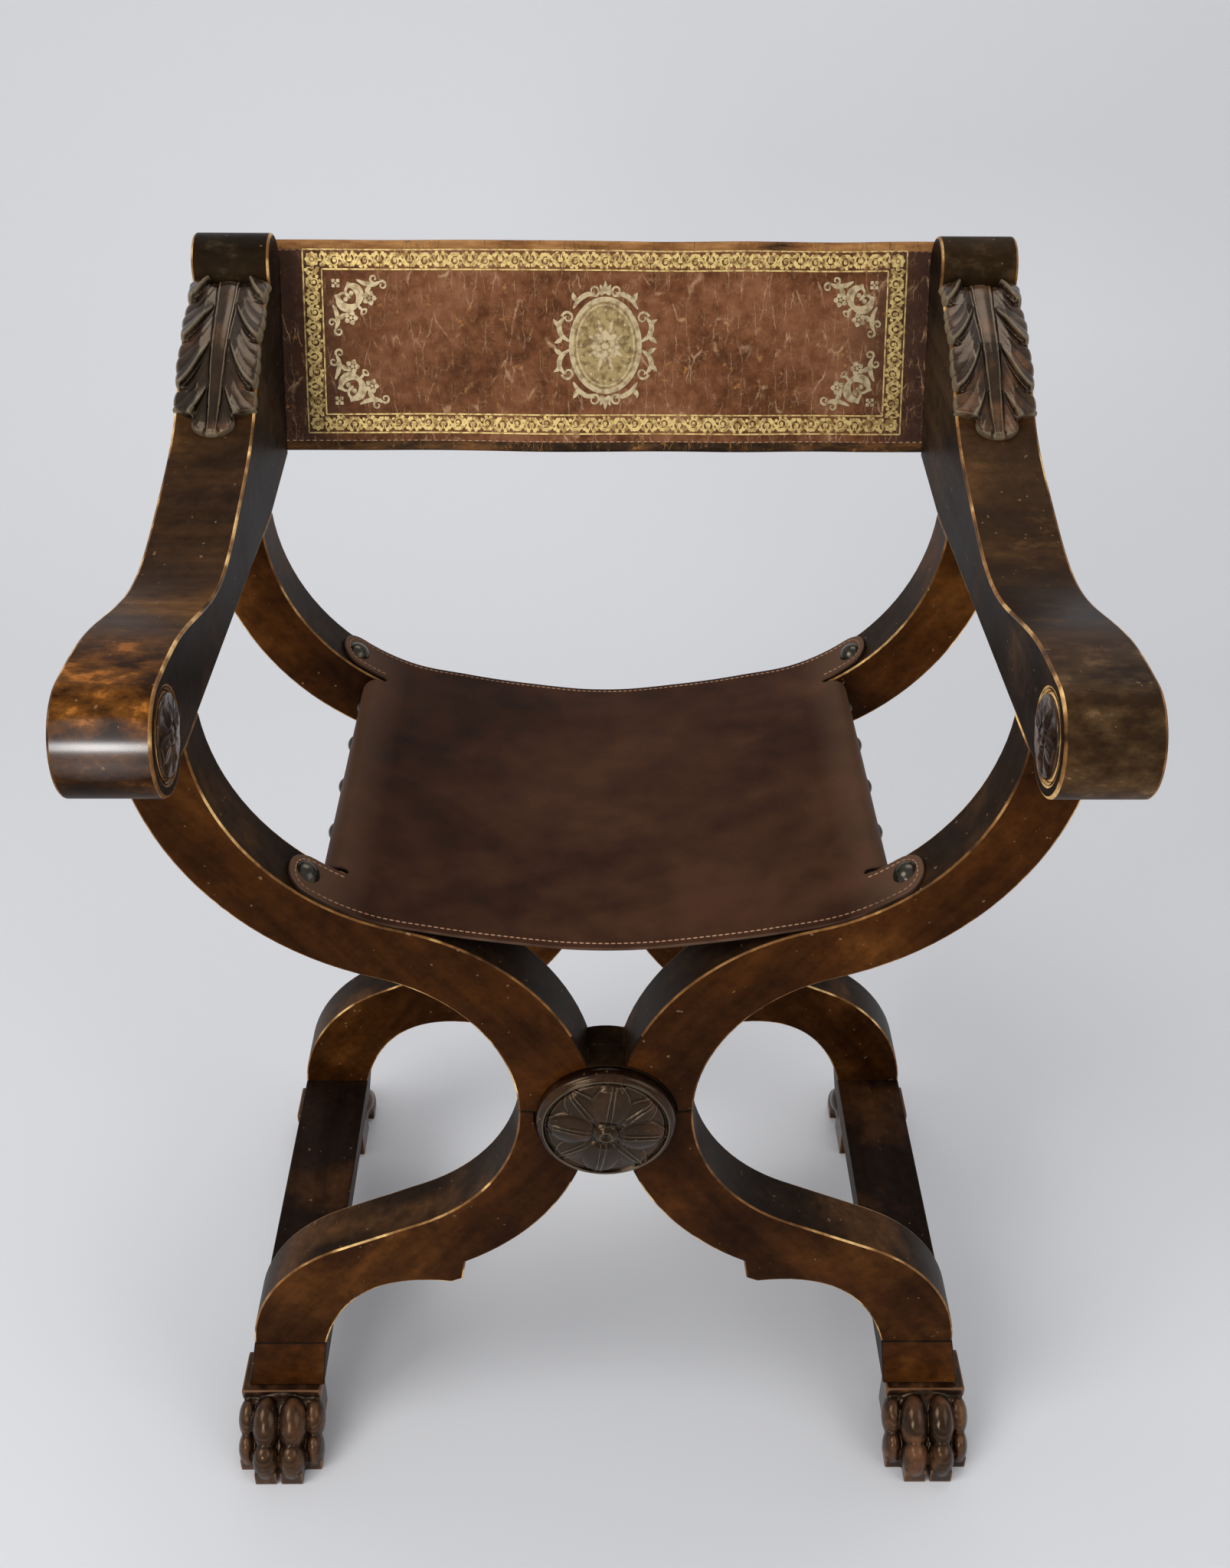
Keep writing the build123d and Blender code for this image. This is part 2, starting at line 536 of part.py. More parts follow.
def boss(dome_h, bead):
    """Turned boss over the bolt's head: a ring moulding round a dome, with a bead in the middle."""
    ring_r = BOSS_RING_T / 2
    rim = BOSS_R - ring_r
    dome_base = BOSS_RING_T - BOSS_STEP
    cap_r = (BOSS_DOME_R ** 2 + (dome_h - dome_base) ** 2) / (2 * (dome_h - dome_base))
    edges = [
        Line((0, HEAD_H), (HEAD_R + 1, HEAD_H)),
        Line((HEAD_R + 1, HEAD_H), (HEAD_R + 1, 0)),
        Line((HEAD_R + 1, 0), (rim, 0)),
        ThreePointArc((rim, 0), (BOSS_R, ring_r), (rim, BOSS_RING_T)),
        Line((rim, BOSS_RING_T), (BOSS_DOME_R, dome_base)),
        arc(0, dome_h - cap_r, cap_r, (BOSS_DOME_R, dome_base), (0, dome_h)),
        Line((0, dome_h), (0, HEAD_H)),
    ]
    body = revolve(Plane.XZ * make_face(edges), Axis.Z)
    if bead:
        body += Sphere(BEAD_R).moved(Location((0, 0, dome_h - BEAD_SINK)))
        body -= rod((0, 0, -BEAD_R), (0, 0, 1), HEAD_R + 1, BEAD_R + HEAD_H)
    return Plane(origin=(0, 0, PIVOT_Z), z_dir=(0, -1, 0)) * body


# ---------------------------------------------------------------- leather
def sag_line(r, z_mid):
    """Curve of the hanging leather, from one frame's bowl to the other's."""
    z_end = BOWL_CZ - sqrt(r ** 2 - (SEAT_JOIN_X - BOWL_CX) ** 2)
    rise = z_end - z_mid
    half = [(SEAT_JOIN_X * out, z_mid + rise * up) for out, up in SAG_SHAPE] + [(SEAT_JOIN_X, z_end)]
    other = [(-x, z) for x, z in reversed(half)]
    slope = (SEAT_JOIN_X - BOWL_CX) / (BOWL_CZ - z_end)
    return Spline(*other, (0, z_mid), *half, tangents=[(1, -slope), (1, slope)])


def seat_centre():
    lower = sag_line(LEATHER_R, BOWL_Z - SEAT_SAG)
    upper = sag_line(LEATHER_R - LEATHER_T, BOWL_Z - SEAT_SAG + LEATHER_T)
    face = make_face([lower, upper, Line(lower @ 0, upper @ 0), Line(lower @ 1, upper @ 1)])
    return plate_xz(face, SEAT_HEM, REAR_Y - SEAT_HEM)


def seat_wrap():
    """Leather over the right-hand rail and down its outer side."""
    rail = rail_profile()
    outer = offset(rail, LEATHER_GAP + LEATHER_T)
    inner = offset(rail, LEATHER_GAP)
    window = Pos(SEAT_JOIN_X + RAIL_X / 2, RAIL_BOTTOM_Z + SEAT_WRAP + RAIL_X / 2) * Rectangle(RAIL_X, RAIL_X)
    return plate_xz((outer - inner) & window, MEMBER_T + TAB_HEM, REAR_Y - MEMBER_T - TAB_HEM)


def seat_tab():
    """Right-hand front tab with a round end, lying on the frame's bowl."""
    width = MEMBER_T - TAB_HEM - SEAT_HEM
    band = Circle(LEATHER_R) - Circle(LEATHER_R - LEATHER_T)
    band = Location((BOWL_CX, BOWL_CZ)) * band
    window = Pos(SEAT_JOIN_X + BOWL_R / 2, BOWL_CZ - BOWL_R / 2) * Rectangle(BOWL_R, BOWL_R + 2)
    outline = RectangleRounded(SEAT_JOIN_X, width, (width - TAB_FLAT) / 2)
    outline = Pos(RAIL_X + TAB_REACH - SEAT_JOIN_X / 2, SEAT_HEM + width / 2) * outline
    return plate_xz(band & window, 0, MEMBER_T) & extrude(outline, amount=BOWL_CZ)


def leather_seat():
    tab = seat_tab()
    side = seat_wrap() + tab + rear(tab)
    body = seat_centre() + side + left(side)
    for hole in shank_holes(seat_nail_places() + tab_nail_places()):
        body -= hole
        body -= left(hole)
    return body


def leather_back():
    plane = Plane(origin=(0, POST_FOOT_Y, POST_FOOT_Z), x_dir=(1, 0, 0),
                  z_dir=(0, POST_NORMAL[0], POST_NORMAL[1]))
    width = 2 * (ARM_INSIDE + BACK_LAP)
    sheet = Box(width, BACK_H, LEATHER_T, align=(Align.CENTER, Align.MIN, Align.MAX))
    body = plane * Pos(0, BACK_START, -LEATHER_GAP) * sheet
    for hole in shank_holes(back_nail_places()):
        body -= hole
        body -= left(hole)
    return body


# ---------------------------------------------------------------- all pieces by node name
def all_pieces():
    pieces = {}

    def pair(name, shape):
        pieces[name + "_right"] = shape
        pieces[name + "_left"] = left(shape)

    member_a, member_b = left(x_member(outer_lap=True)), x_member(outer_lap=False)
    pieces["front_member_a"], pieces["rear_member_a"] = member_a, rear(member_a)
    pieces["front_member_b"], pieces["rear_member_b"] = member_b, rear(member_b)
    pair("arm", arm())
    pair("seat_rail", seat_rail())
    pair("runner", runner())
    front_paw = paw()
    pair("paw_front", front_paw)
    pair("paw_rear", rear(front_paw))
    for name, shape in (("bolt", pivot_bolt()), ("washer", washer()), ("nut", nut())):
        pieces["pivot_" + name + "_front"] = shape
        pieces["pivot_" + name + "_rear"] = rear(shape)
    pieces["boss_front"] = boss(BOSS_DOME_H, bead=True)
    pieces["boss_rear"] = rear(boss(CAP_DOME_H, bead=False))
    pieces["leather_seat"] = leather_seat()
    pieces["leather_back"] = leather_back()
    pair("seat_nails", group(nails(seat_nail_places(), SEAT_NAIL_R, SEAT_NAIL_H)))
    pair("tab_nails", group(nails(tab_nail_places(), TAB_NAIL_R, TAB_NAIL_H)))
    pair("back_nails", group(nails(back_nail_places(), BACK_NAIL_R, BACK_NAIL_H)))
    for kind in ("arm", "rail", "foot", "paw"):
        pair(kind + "_dowels", group(dowels(kind)))
    return pieces


pieces = all_pieces()
boxes = [shape.bounding_box() for shape in pieces.values()]
low = [min(getattr(box.min, axis) for box in boxes) for axis in "XYZ"]
high = [max(getattr(box.max, axis) for box in boxes) for axis in "XYZ"]
shift = (-(low[0] + high[0]) / 2, -(low[1] + high[1]) / 2, -low[2])
for name, shape in pieces.items():
    export_step(shape.moved(Location(shift)), "parts/" + name + ".step")
print("size", [round(b - a, 2) for a, b in zip(low, high)])
print("moved by", [round(v, 3) for v in shift])
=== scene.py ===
# %% [markdown]
# # A folding armchair with two X frames
# The chair stands on four paws. Two X frames, one in front and one behind, are joined by sawn arms, by two
# seat rails and by two runners. Leather is slung between the rails, and a second piece of leather closes the
# back. The solid model comes in as a fixed frame: its bodies move when the chair folds, and the wooden
# pieces, bosses, rosettes, leaves and paws that are made here ride on one of them. The leather, its stitches
# and its gold stay where they are made.

# %% Load the frame
import json
from math import atan2, ceil, cos, exp, floor, hypot, pi, radians, sin, sqrt

import bmesh
import bpy
import numpy as np
from mathutils import Matrix, Vector, geometry, noise
from mathutils.bvhtree import BVHTree


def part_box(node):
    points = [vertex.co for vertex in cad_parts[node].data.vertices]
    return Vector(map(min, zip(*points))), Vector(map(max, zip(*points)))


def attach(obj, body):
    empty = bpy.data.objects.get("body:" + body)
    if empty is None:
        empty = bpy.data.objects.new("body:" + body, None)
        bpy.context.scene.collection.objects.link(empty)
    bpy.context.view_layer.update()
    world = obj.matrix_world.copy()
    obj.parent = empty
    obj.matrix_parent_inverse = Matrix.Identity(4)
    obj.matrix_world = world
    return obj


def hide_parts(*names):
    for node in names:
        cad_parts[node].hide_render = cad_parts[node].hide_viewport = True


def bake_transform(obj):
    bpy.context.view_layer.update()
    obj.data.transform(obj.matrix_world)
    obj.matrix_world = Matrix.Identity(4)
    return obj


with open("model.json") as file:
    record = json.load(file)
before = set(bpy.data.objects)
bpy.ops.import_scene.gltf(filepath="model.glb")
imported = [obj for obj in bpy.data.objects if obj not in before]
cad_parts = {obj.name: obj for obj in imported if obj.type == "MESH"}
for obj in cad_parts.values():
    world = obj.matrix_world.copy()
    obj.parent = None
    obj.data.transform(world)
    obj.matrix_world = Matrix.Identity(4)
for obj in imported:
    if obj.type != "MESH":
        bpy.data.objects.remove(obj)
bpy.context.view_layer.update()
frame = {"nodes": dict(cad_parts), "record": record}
MM = 0.001

# %% [markdown]
# ## Small tools
# Almost every piece is a mesh that gets an object, outward normals and smooth shading. Most lines start as
# straight steps, as a part of an ellipse or as a curve through a few knots.

# %% Objects and meshes
def new_object(name, data):
    """An object that carries a mesh, a lamp or a camera, put into the scene."""
    made = bpy.data.objects.new(name, data)
    bpy.context.scene.collection.objects.link(made)
    return made


def outward_and_smooth(mesh):
    """Turn all faces outward and shade them smooth."""
    work = bmesh.new()
    work.from_mesh(mesh)
    bmesh.ops.recalc_face_normals(work, faces=work.faces)
    for face in work.faces:
        face.smooth = True
    work.to_mesh(mesh)
    work.free()


def applied(piece):
    """The piece with its modifiers turned into plain mesh."""
    graph = bpy.context.evaluated_depsgraph_get()
    mesh = bpy.data.meshes.new_from_object(piece.evaluated_get(graph))
    piece.modifiers.clear()
    old = piece.data
    piece.data = mesh
    mesh.name = old.name
    return piece


print("the frame holds", len(frame["nodes"]), "solid pieces")


# %% Points and lines
def steps_between(first, last, count):
    """Even steps from the first value to the last, both of them included."""
    return [first + (last - first) * k / count for k in range(count + 1)]


def on_ellipse(centre, rx, ry, angle):
    """Point of an ellipse; the angle is in degrees."""
    return (centre[0] + rx * cos(radians(angle)), centre[1] + ry * sin(radians(angle)))


def smooth_path(knots, steps=8):
    """Curve through a few knots (Catmull-Rom)."""
    knots = [Vector(k) for k in knots]
    padded = [2 * knots[0] - knots[1]] + knots + [2 * knots[-1] - knots[-2]]
    line = []
    for p0, p1, p2, p3 in zip(padded, padded[1:], padded[2:], padded[3:]):
        for k in range(steps):
            t = k / steps
            line.append(0.5 * ((2 * p1) + (p2 - p0) * t + (2 * p0 - 5 * p1 + 4 * p2 - p3) * t * t
                               + (3 * p1 - p0 - 3 * p2 + p3) * t ** 3))
    return line + [knots[-1]]


def lengths(path):
    """Distance of each point from the start of the path."""
    total = [0.0]
    for a, b in zip(path, path[1:]):
        total.append(total[-1] + (b - a).length)
    return total


def along(path, marks, s):
    """Point of a path at the distance s, carried on straight past its end."""
    s = max(s, 0.0)
    i = min(int(np.searchsorted(marks, s, side="right")) - 1, len(path) - 2)
    return path[i].lerp(path[i + 1], (s - marks[i]) / (marks[i + 1] - marks[i]))


print("a quarter of a circle in 4 steps:", [[round(v, 2) for v in on_ellipse((0, 0), 1, 1, a)]
                                            for a in steps_between(0, 90, 4)])

# %% [markdown]
# ## Camera
# The viewer stands close and looks down at the seat, so upright lines lean together a little. A camera is
# placed by its position and three angles. The focal length is given for a 36 mm tall sensor.

# %% Camera
FRONT_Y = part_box("front_member_a")[0].y      # front face of the front frame
VIEWPOINT = Vector((-0.00815, FRONT_Y - 0.82467, 1.17267))
PITCH, YAW, ROLL = radians(34.064), radians(0.850), radians(0.535)
LENS_MM = 38.87
SENSOR_MM = 36.0

forward = Vector((sin(YAW) * cos(PITCH), cos(YAW) * cos(PITCH), -sin(PITCH)))
level_right = Vector((cos(YAW), -sin(YAW), 0))
level_up = level_right.cross(forward)
camera_right = cos(ROLL) * level_right + sin(ROLL) * level_up
camera_up = cos(ROLL) * level_up - sin(ROLL) * level_right

camera = new_object("camera", bpy.data.cameras.new("camera"))
camera.data.sensor_fit = "VERTICAL"
camera.data.sensor_height = SENSOR_MM
camera.data.lens = LENS_MM
camera.data.clip_start = 0.05
turn = Matrix((camera_right, camera_up, -forward)).transposed()
camera.matrix_world = Matrix.Translation(VIEWPOINT) @ turn.to_4x4()
bpy.context.scene.camera = camera
print("camera at", [round(v, 3) for v in VIEWPOINT], "with a lens of", LENS_MM, "mm")

# %% [markdown]
# ## Stage and light
# Every material is a tree of shader nodes, so a few short helpers that build such trees come first. Then a
# pale floor and a pale backdrop in one smooth sweep keep attention on the chair. Three large lamps give soft
# shadows, a smaller low one lays a narrow light along the scroll of an arm, and a pale world fills the shade.

# %% Helpers for shader trees
def new_tree(name):
    """A new material, its node tree and its surface shader."""
    material = bpy.data.materials.new(name)
    material.use_nodes = True
    tree = material.node_tree
    return material, tree, tree.nodes["Principled BSDF"]


def add(tree, kind, sockets=None, **settings):
    """A node with its settings; sockets take a value, or another node's output to be joined to."""
    made = tree.nodes.new("ShaderNode" + kind)
    for key, value in settings.items():
        setattr(made, key, value)
    for key, value in (sockets or {}).items():
        if isinstance(value, bpy.types.NodeSocket):
            tree.links.new(value, made.inputs[key])
        else:
            made.inputs[key].default_value = value
    return made


def ramp(tree, source, stops):
    """A colour ramp with (place, colour) stops."""
    made = tree.nodes.new("ShaderNodeValToRGB")
    tree.links.new(source, made.inputs["Fac"])
    elements = made.color_ramp.elements
    while len(elements) < len(stops):
        elements.new(0.5)
    for element, (place, colour) in zip(elements, stops):
        element.position = place
        element.color = (*colour, 1) if len(colour) == 3 else colour
    return made.outputs["Color"]


def grey(level):
    """A colour without hue."""
    return (level, level, level)


def opaque(colour):
    """A colour with its alpha; a socket is handed on as it is."""
    return colour if isinstance(colour, bpy.types.NodeSocket) else (*colour, 1)


def blend_colour(tree, amount, first, second, kind="MIX"):
    """Mix of two colours; each may be a socket or a plain colour."""
    colour_sockets = {0: amount, 6: opaque(first), 7: opaque(second)}
    return add(tree, "Mix", colour_sockets, data_type="RGBA", blend_type=kind).outputs[2]


print("a colour is three numbers,", grey(0.5), "and gets a fourth for its alpha,", opaque(grey(0.5)))


# %% Numbers and places in shader trees
def times(tree, first, second):
    """Product of two values; each may be a socket or a number."""
    return add(tree, "Math", {0: first, 1: second}, operation="MULTIPLY").outputs[0]


def plus(tree, first, second):
    """Sum of two values; each may be a socket or a number."""
    return add(tree, "Math", {0: first, 1: second}, operation="ADD").outputs[0]


def faded(tree, value, start, end, at_start, at_end):
    """A value that goes from at_start to at_end while its source goes from start to end."""
    return add(tree, "MapRange", {"Value": value, "From Min": start, "From Max": end, "To Min": at_start,
                                  "To Max": at_end}).outputs["Result"]


def from_middle(tree, place):
    """Distance from the chair's middle plane."""
    across = add(tree, "SeparateXYZ", {"Vector": place}).outputs["X"]
    return add(tree, "Math", {0: across}, operation="ABSOLUTE").outputs[0]


def object_place(tree, stretch=(1, 1, 1), turn_by=(0, 0, 0)):
    """Object coordinates in a turned frame, in which a pattern is drawn out by stretch."""
    coordinates = add(tree, "TexCoord")
    mapping = add(tree, "Mapping", {"Vector": coordinates.outputs["Object"],
                                    "Rotation": turn_by, "Scale": stretch}, vector_type="TEXTURE")
    return mapping.outputs["Vector"]


print("materials so far:", len(bpy.data.materials))

# %% Floor and backdrop
SWEEP_Y = 0.95
SWEEP_HEIGHT = 2.6
SWEEP_RADIUS = 0.8

sweep_line = [(-3.0, 0.0), (SWEEP_Y, 0.0)]
sweep_line += [(SWEEP_Y + SWEEP_RADIUS * sin(a), SWEEP_RADIUS * (1 - cos(a)))
               for a in (radians(d) for d in range(5, 91, 5))]
sweep_line.append((SWEEP_Y + SWEEP_RADIUS, SWEEP_HEIGHT))
sweep_mesh = bpy.data.meshes.new("sweep")
sweep_mesh.from_pydata([(x, y, z) for y, z in sweep_line for x in (-4, 4)], [],
                       [(2 * i, 2 * i + 1, 2 * i + 3, 2 * i + 2) for i in range(len(sweep_line) - 1)])
sweep_mesh.polygons.foreach_set("use_smooth", [True] * len(sweep_mesh.polygons))
sweep = new_object("sweep", sweep_mesh)

paper, tree, surface = new_tree("pale_paper")
surface.inputs["Base Color"].default_value = (0.72, 0.72, 0.73, 1)
surface.inputs["Roughness"].default_value = 0.9
surface.inputs["Specular IOR Level"].default_value = 0.1
sweep_mesh.materials.append(paper)
print("the sweep has", len(sweep_mesh.polygons), "strips")

# %% Lamps and world
def lamp(name, place, aim, width, height, watts):
    """A rectangular lamp at a place, turned towards its aim."""
    data = bpy.data.lights.new(name, "AREA")
    data.shape = "RECTANGLE"
    data.size, data.size_y, data.energy = width, height, watts
    made = new_object(name, data)
    made.location = place
    made.rotation_euler = (Vector(aim) - Vector(place)).to_track_quat("-Z", "Y").to_euler()


lamp("window", (-1.7, -1.1, 2.1), (0, 0, 0.4), 1.3, 1.3, 28)
lamp("fill", (1.9, -1.4, 1.6), (0, 0, 0.4), 1.6, 1.6, 13)
lamp("low", (-0.86, -2.1, 1.05), (-0.1, 0, 0.5), 0.65, 0.45, 9.5)
lamp("top", (0.2, 0.9, 2.5), (0, 0.1, 0.4), 1.2, 0.8, 9)

world = bpy.data.worlds.new("studio")
bpy.context.scene.world = world
world.use_nodes = True
background = world.node_tree.nodes["Background"]
background.inputs["Color"].default_value = (0.93, 0.95, 1.0, 1)
background.inputs["Strength"].default_value = 0.55
bpy.context.scene.view_settings.view_transform = "Standard"
print("lamps:", sorted(light.name for light in bpy.data.lights))

# %% [markdown]
# ## Walnut
# Old walnut is nearly black in the hollows and wears to a warm gold on its corners. One recipe makes
# every variety: broad clouds of stain, fine grain drawn out along the plank, and a few pale nicks. The left
# scroll is rubbed to golden blotches and painted as lit, the right scroll has a grey painted sheen, painted
# shade lies under the left scroll and along the right arm, and the rolls are darker. The legs darken towards
# the floor, and a carving is darker in its hollows and lighter on its ridges, which on the leaves is partly a
# painted highlight. The sawn curves, the flat sides and the rounded corners get three different mixes of it,
# so that the gold only runs along the corners, which are the faces that the bevels make.

# %% Wear, painted light and shade, wax and relief
RIDGE = "ridge"                      # attribute that tells how far a carving stands out
WARM_SHEEN = (1.0, 0.7, 0.45, 1)     # waxed wood and leather reflect a warm light


def rubbed(tree, place, colour, wear_and_light_patches):
    """Patches of wear and of painted light and shade, each (centre, reach, strength, pale, deep): two-colour
    blotches in a soft ball.
    """
    for centre, reach, strength, pale, deep in wear_and_light_patches:
        away = add(tree, "VectorMath", {0: place, 1: centre}, operation="DISTANCE").outputs["Value"]
        spot = faded(tree, away, reach, 0.45 * reach, 0.0, strength)
        banded = object_place(tree, stretch=(1.5, 1, 1))
        patches = add(tree, "TexNoise", {"Vector": banded, "Scale": 55.0, "Detail": 8.0, "Roughness": 0.66})
        half_pale = tuple(0.55 * v for v in pale)
        palest = tuple(min(1.0, 2.6 * v) for v in pale)
        # These colours are wear on some patches, and painted light and painted shade on others.
        worn = ramp(tree, patches.outputs["Fac"],
                    [(0.4, deep), (0.49, half_pale), (0.57, pale), (0.64, palest)])
        colour = blend_colour(tree, spot, colour, worn)
    return colour


def polished(tree, place, surface, middle, reach):
    """A coat of wax in one spot, wider across the chair than it is high."""
    offset = add(tree, "VectorMath", {0: place, 1: middle}, operation="SUBTRACT").outputs[0]
    flattened = add(tree, "VectorMath", {0: offset, 1: (0.45, 1, 1)}, operation="MULTIPLY").outputs[0]
    away = add(tree, "VectorMath", {0: flattened}, operation="LENGTH").outputs["Value"]
    tree.links.new(faded(tree, away, reach, 0.4 * reach, 0.0, 1.0), surface.inputs["Coat Weight"])
    surface.inputs["Coat Roughness"].default_value = 0.22
    surface.inputs["Coat IOR"].default_value = 1.9


def relieved(tree, colour, relief):
    """Hollows of a carving darken, and its ridges take the relief's colour, which on the leaves is partly a
    painted highlight.
    """
    ridge = add(tree, "Attribute", attribute_name=RIDGE).outputs["Fac"]
    sunk = ramp(tree, ridge, [(0.26, grey(0.12)), (0.52, grey(1))])
    raised = ramp(tree, ridge, [(0.64, grey(0)), (0.92, grey(0.8))])
    return blend_colour(tree, raised, blend_colour(tree, 1.0, colour, sunk, "MULTIPLY"), relief)


print("carvings are read from the attribute", RIDGE)


# %% Walnut recipe
def walnut(name, dark, middle, light, plank_turn=(0, 0, 0), clouds=9.0, gloss=0.36, nicks=0.4,
           wear=0.5, shine=0.05, wear_and_light_patches=(), polish=None, relief=None, darker_below=None):
    """Stained and waxed wood. plank_turn lays the grain, wear moves the mix towards the light colour, polish
    is a glossy place (centre, reach), relief is the colour of carved ridges, on the leaves partly a painted
    highlight, and the last argument is the height under which the wood darkens towards the floor."""
    material, tree, surface = new_tree(name)
    plain = object_place(tree)
    grain_place = object_place(tree, stretch=(1, 14, 1), turn_by=plank_turn)
    cloud = add(tree, "TexNoise", {"Vector": plain, "Scale": clouds, "Detail": 4.0, "Roughness": 0.55,
                                   "Distortion": 0.4})
    streak = add(tree, "TexNoise", {"Vector": grain_place, "Scale": 70.0, "Detail": 5.0, "Roughness": 0.6})
    pore = add(tree, "TexNoise", {"Vector": grain_place, "Scale": 620.0, "Detail": 2.0})
    stain = ramp(tree, cloud.outputs["Fac"],
                 [(0.37 - 0.1 * wear, dark), (0.52, middle), (0.7 - 0.1 * wear, light)])
    grain = ramp(tree, streak.outputs["Fac"], [(0.34, grey(0.5)), (0.66, grey(1.3))])
    colour = blend_colour(tree, 0.75, stain, grain, "MULTIPLY")
    speck = add(tree, "TexNoise", {"Vector": plain, "Scale": 130.0, "Detail": 5.0, "Roughness": 0.7})
    specks = ramp(tree, speck.outputs["Fac"], [(0.36, grey(0.62)), (0.6, grey(1.12))])
    colour = blend_colour(tree, 0.8, colour, specks, "MULTIPLY")
    # Patches of wear, and of painted light and shade, laid over the wood.
    colour = rubbed(tree, plain, colour, wear_and_light_patches)
    if polish:
        polished(tree, plain, surface, *polish)
    # The wood gets darker towards the floor.
    if darker_below:
        above_floor = add(tree, "SeparateXYZ", {"Vector": plain}).outputs["Z"]
        lower_darkening = faded(tree, above_floor, 0.1, darker_below, 0.62, 1.0)
        colour = blend_colour(tree, 1.0, colour, lower_darkening, "MULTIPLY")
    if relief:
        colour = relieved(tree, colour, relief)
    fleck = add(tree, "TexNoise", {"Vector": plain, "Scale": 230.0, "Detail": 1.0})
    flecks = ramp(tree, fleck.outputs["Fac"], [(0.755, grey(0)), (0.77, grey(1))])
    colour = blend_colour(tree, times(tree, flecks, nicks), colour, (0.32, 0.19, 0.10))
    tree.links.new(colour, surface.inputs["Base Color"])
    rough = ramp(tree, cloud.outputs["Fac"], [(0.3, grey(gloss)), (0.75, grey(gloss + 0.16))])
    tree.links.new(rough, surface.inputs["Roughness"])
    surface.inputs["Specular IOR Level"].default_value = shine
    surface.inputs["Specular Tint"].default_value = WARM_SHEEN
    height = plus(tree, times(tree, streak.outputs["Fac"], 0.5), times(tree, pore.outputs["Fac"], 0.25))
    bump = add(tree, "Bump", {"Height": height, "Strength": 0.14, "Distance": 0.0008})
    dents = add(tree, "TexNoise", {"Vector": plain, "Scale": 28.0, "Detail": 2.0})
    bump = add(tree, "Bump", {"Height": dents.outputs["Fac"], "Strength": 0.25, "Distance": 0.0015,
                              "Normal": bump.outputs["Normal"]})
    tree.links.new(bump.outputs["Normal"], surface.inputs["Normal"])
    return material


# %% The varieties of walnut on this chair
LENGTHWISE = (0, 0, 0)
UPRIGHT = (radians(90), 0, 0)
CROSSWISE = (0, 0, radians(90))
SLANT_A = (radians(90), radians(-38), 0)
SLANT_B = (radians(90), radians(38), 0)
NEAR_BLACK = (0.009, 0.0055, 0.0035)
FRONT_STAINS = (0.022, 0.0066, 0.0016), (0.056, 0.0172, 0.0032), (0.12, 0.041, 0.008)
# Centres of the patches on the arms: the left scroll's is wear and painted light, the one under it and the
# right arm's are painted shade, and the right scroll's is a painted sheen.
LEFT_SCROLL = (-0.272, FRONT_Y - 0.048, 0.680)
UNDER_SCROLL = (-0.272, FRONT_Y - 0.052, 0.640)
RIGHT_SCROLL = (0.285, FRONT_Y - 0.05, 0.672)
RIGHT_ARM = (0.285, FRONT_Y + 0.13, 0.71)
LEFT_ROLL = (-0.272, FRONT_Y + 0.42, 0.8)
RIGHT_ROLL = (0.272, FRONT_Y + 0.42, 0.8)

# The legs get darker towards the floor, below 0.3 m.
front_walnut_a = walnut("walnut_front_a", *FRONT_STAINS, SLANT_A, darker_below=0.3)
front_walnut_b = walnut("walnut_front_b", *FRONT_STAINS, SLANT_B, darker_below=0.3)
foot_end_walnut = walnut("walnut_foot_end", *FRONT_STAINS, LENGTHWISE)
sawn_walnut = walnut("walnut_sawn", NEAR_BLACK, (0.022, 0.011, 0.005), (0.075, 0.033, 0.012), UPRIGHT,
                     gloss=0.34)
arm_walnut = walnut("walnut_arm_top", (0.017, 0.0075, 0.0035), (0.05, 0.022, 0.0075), (0.135, 0.06, 0.018),
                    CROSSWISE, clouds=8.0, gloss=0.36, shine=0.06,
                    # Left scroll: rubbed to golden blotches, and painted as lit.
                    wear_and_light_patches=((LEFT_SCROLL, 0.1, 0.95, (0.14, 0.048, 0.008), (0.018, 0.006, 0.0015)),
                          # Under the left scroll: painted shade.
                          (UNDER_SCROLL, 0.055, 0.95, (0.024, 0.009, 0.0025), (0.007, 0.003, 0.0012)),
                          # Right arm: painted shade, darker than the left arm.
                          (RIGHT_ARM, 0.17, 0.6, (0.03, 0.014, 0.005), (0.014, 0.007, 0.0035)),
                          # Right scroll: a grey painted sheen.
                          (RIGHT_SCROLL, 0.075, 0.55, (0.1, 0.058, 0.026), (0.02, 0.012, 0.007)),
                          # The rolls: darker patches.
                          (LEFT_ROLL, 0.06, 0.9, (0.012, 0.008, 0.004), (0.007, 0.004, 0.002)),
                          (RIGHT_ROLL, 0.06, 0.9, (0.012, 0.008, 0.004), (0.007, 0.004, 0.002))),
                    polish=((-0.272, FRONT_Y - 0.073, 0.682), 0.024))
side_walnut = walnut("walnut_arm_side", NEAR_BLACK, (0.02, 0.0125, 0.009), (0.05, 0.028, 0.016), LENGTHWISE,
                     shine=0.02)
runner_walnut = walnut("walnut_runner", NEAR_BLACK, (0.014, 0.007, 0.0045), (0.06, 0.024, 0.009), LENGTHWISE)
worn_walnut = walnut("walnut_worn_corner", (0.045, 0.018, 0.006), (0.28, 0.125, 0.035), (0.9, 0.56, 0.22),
                     LENGTHWISE, clouds=24.0, gloss=0.3, nicks=0.8, shine=0.2)
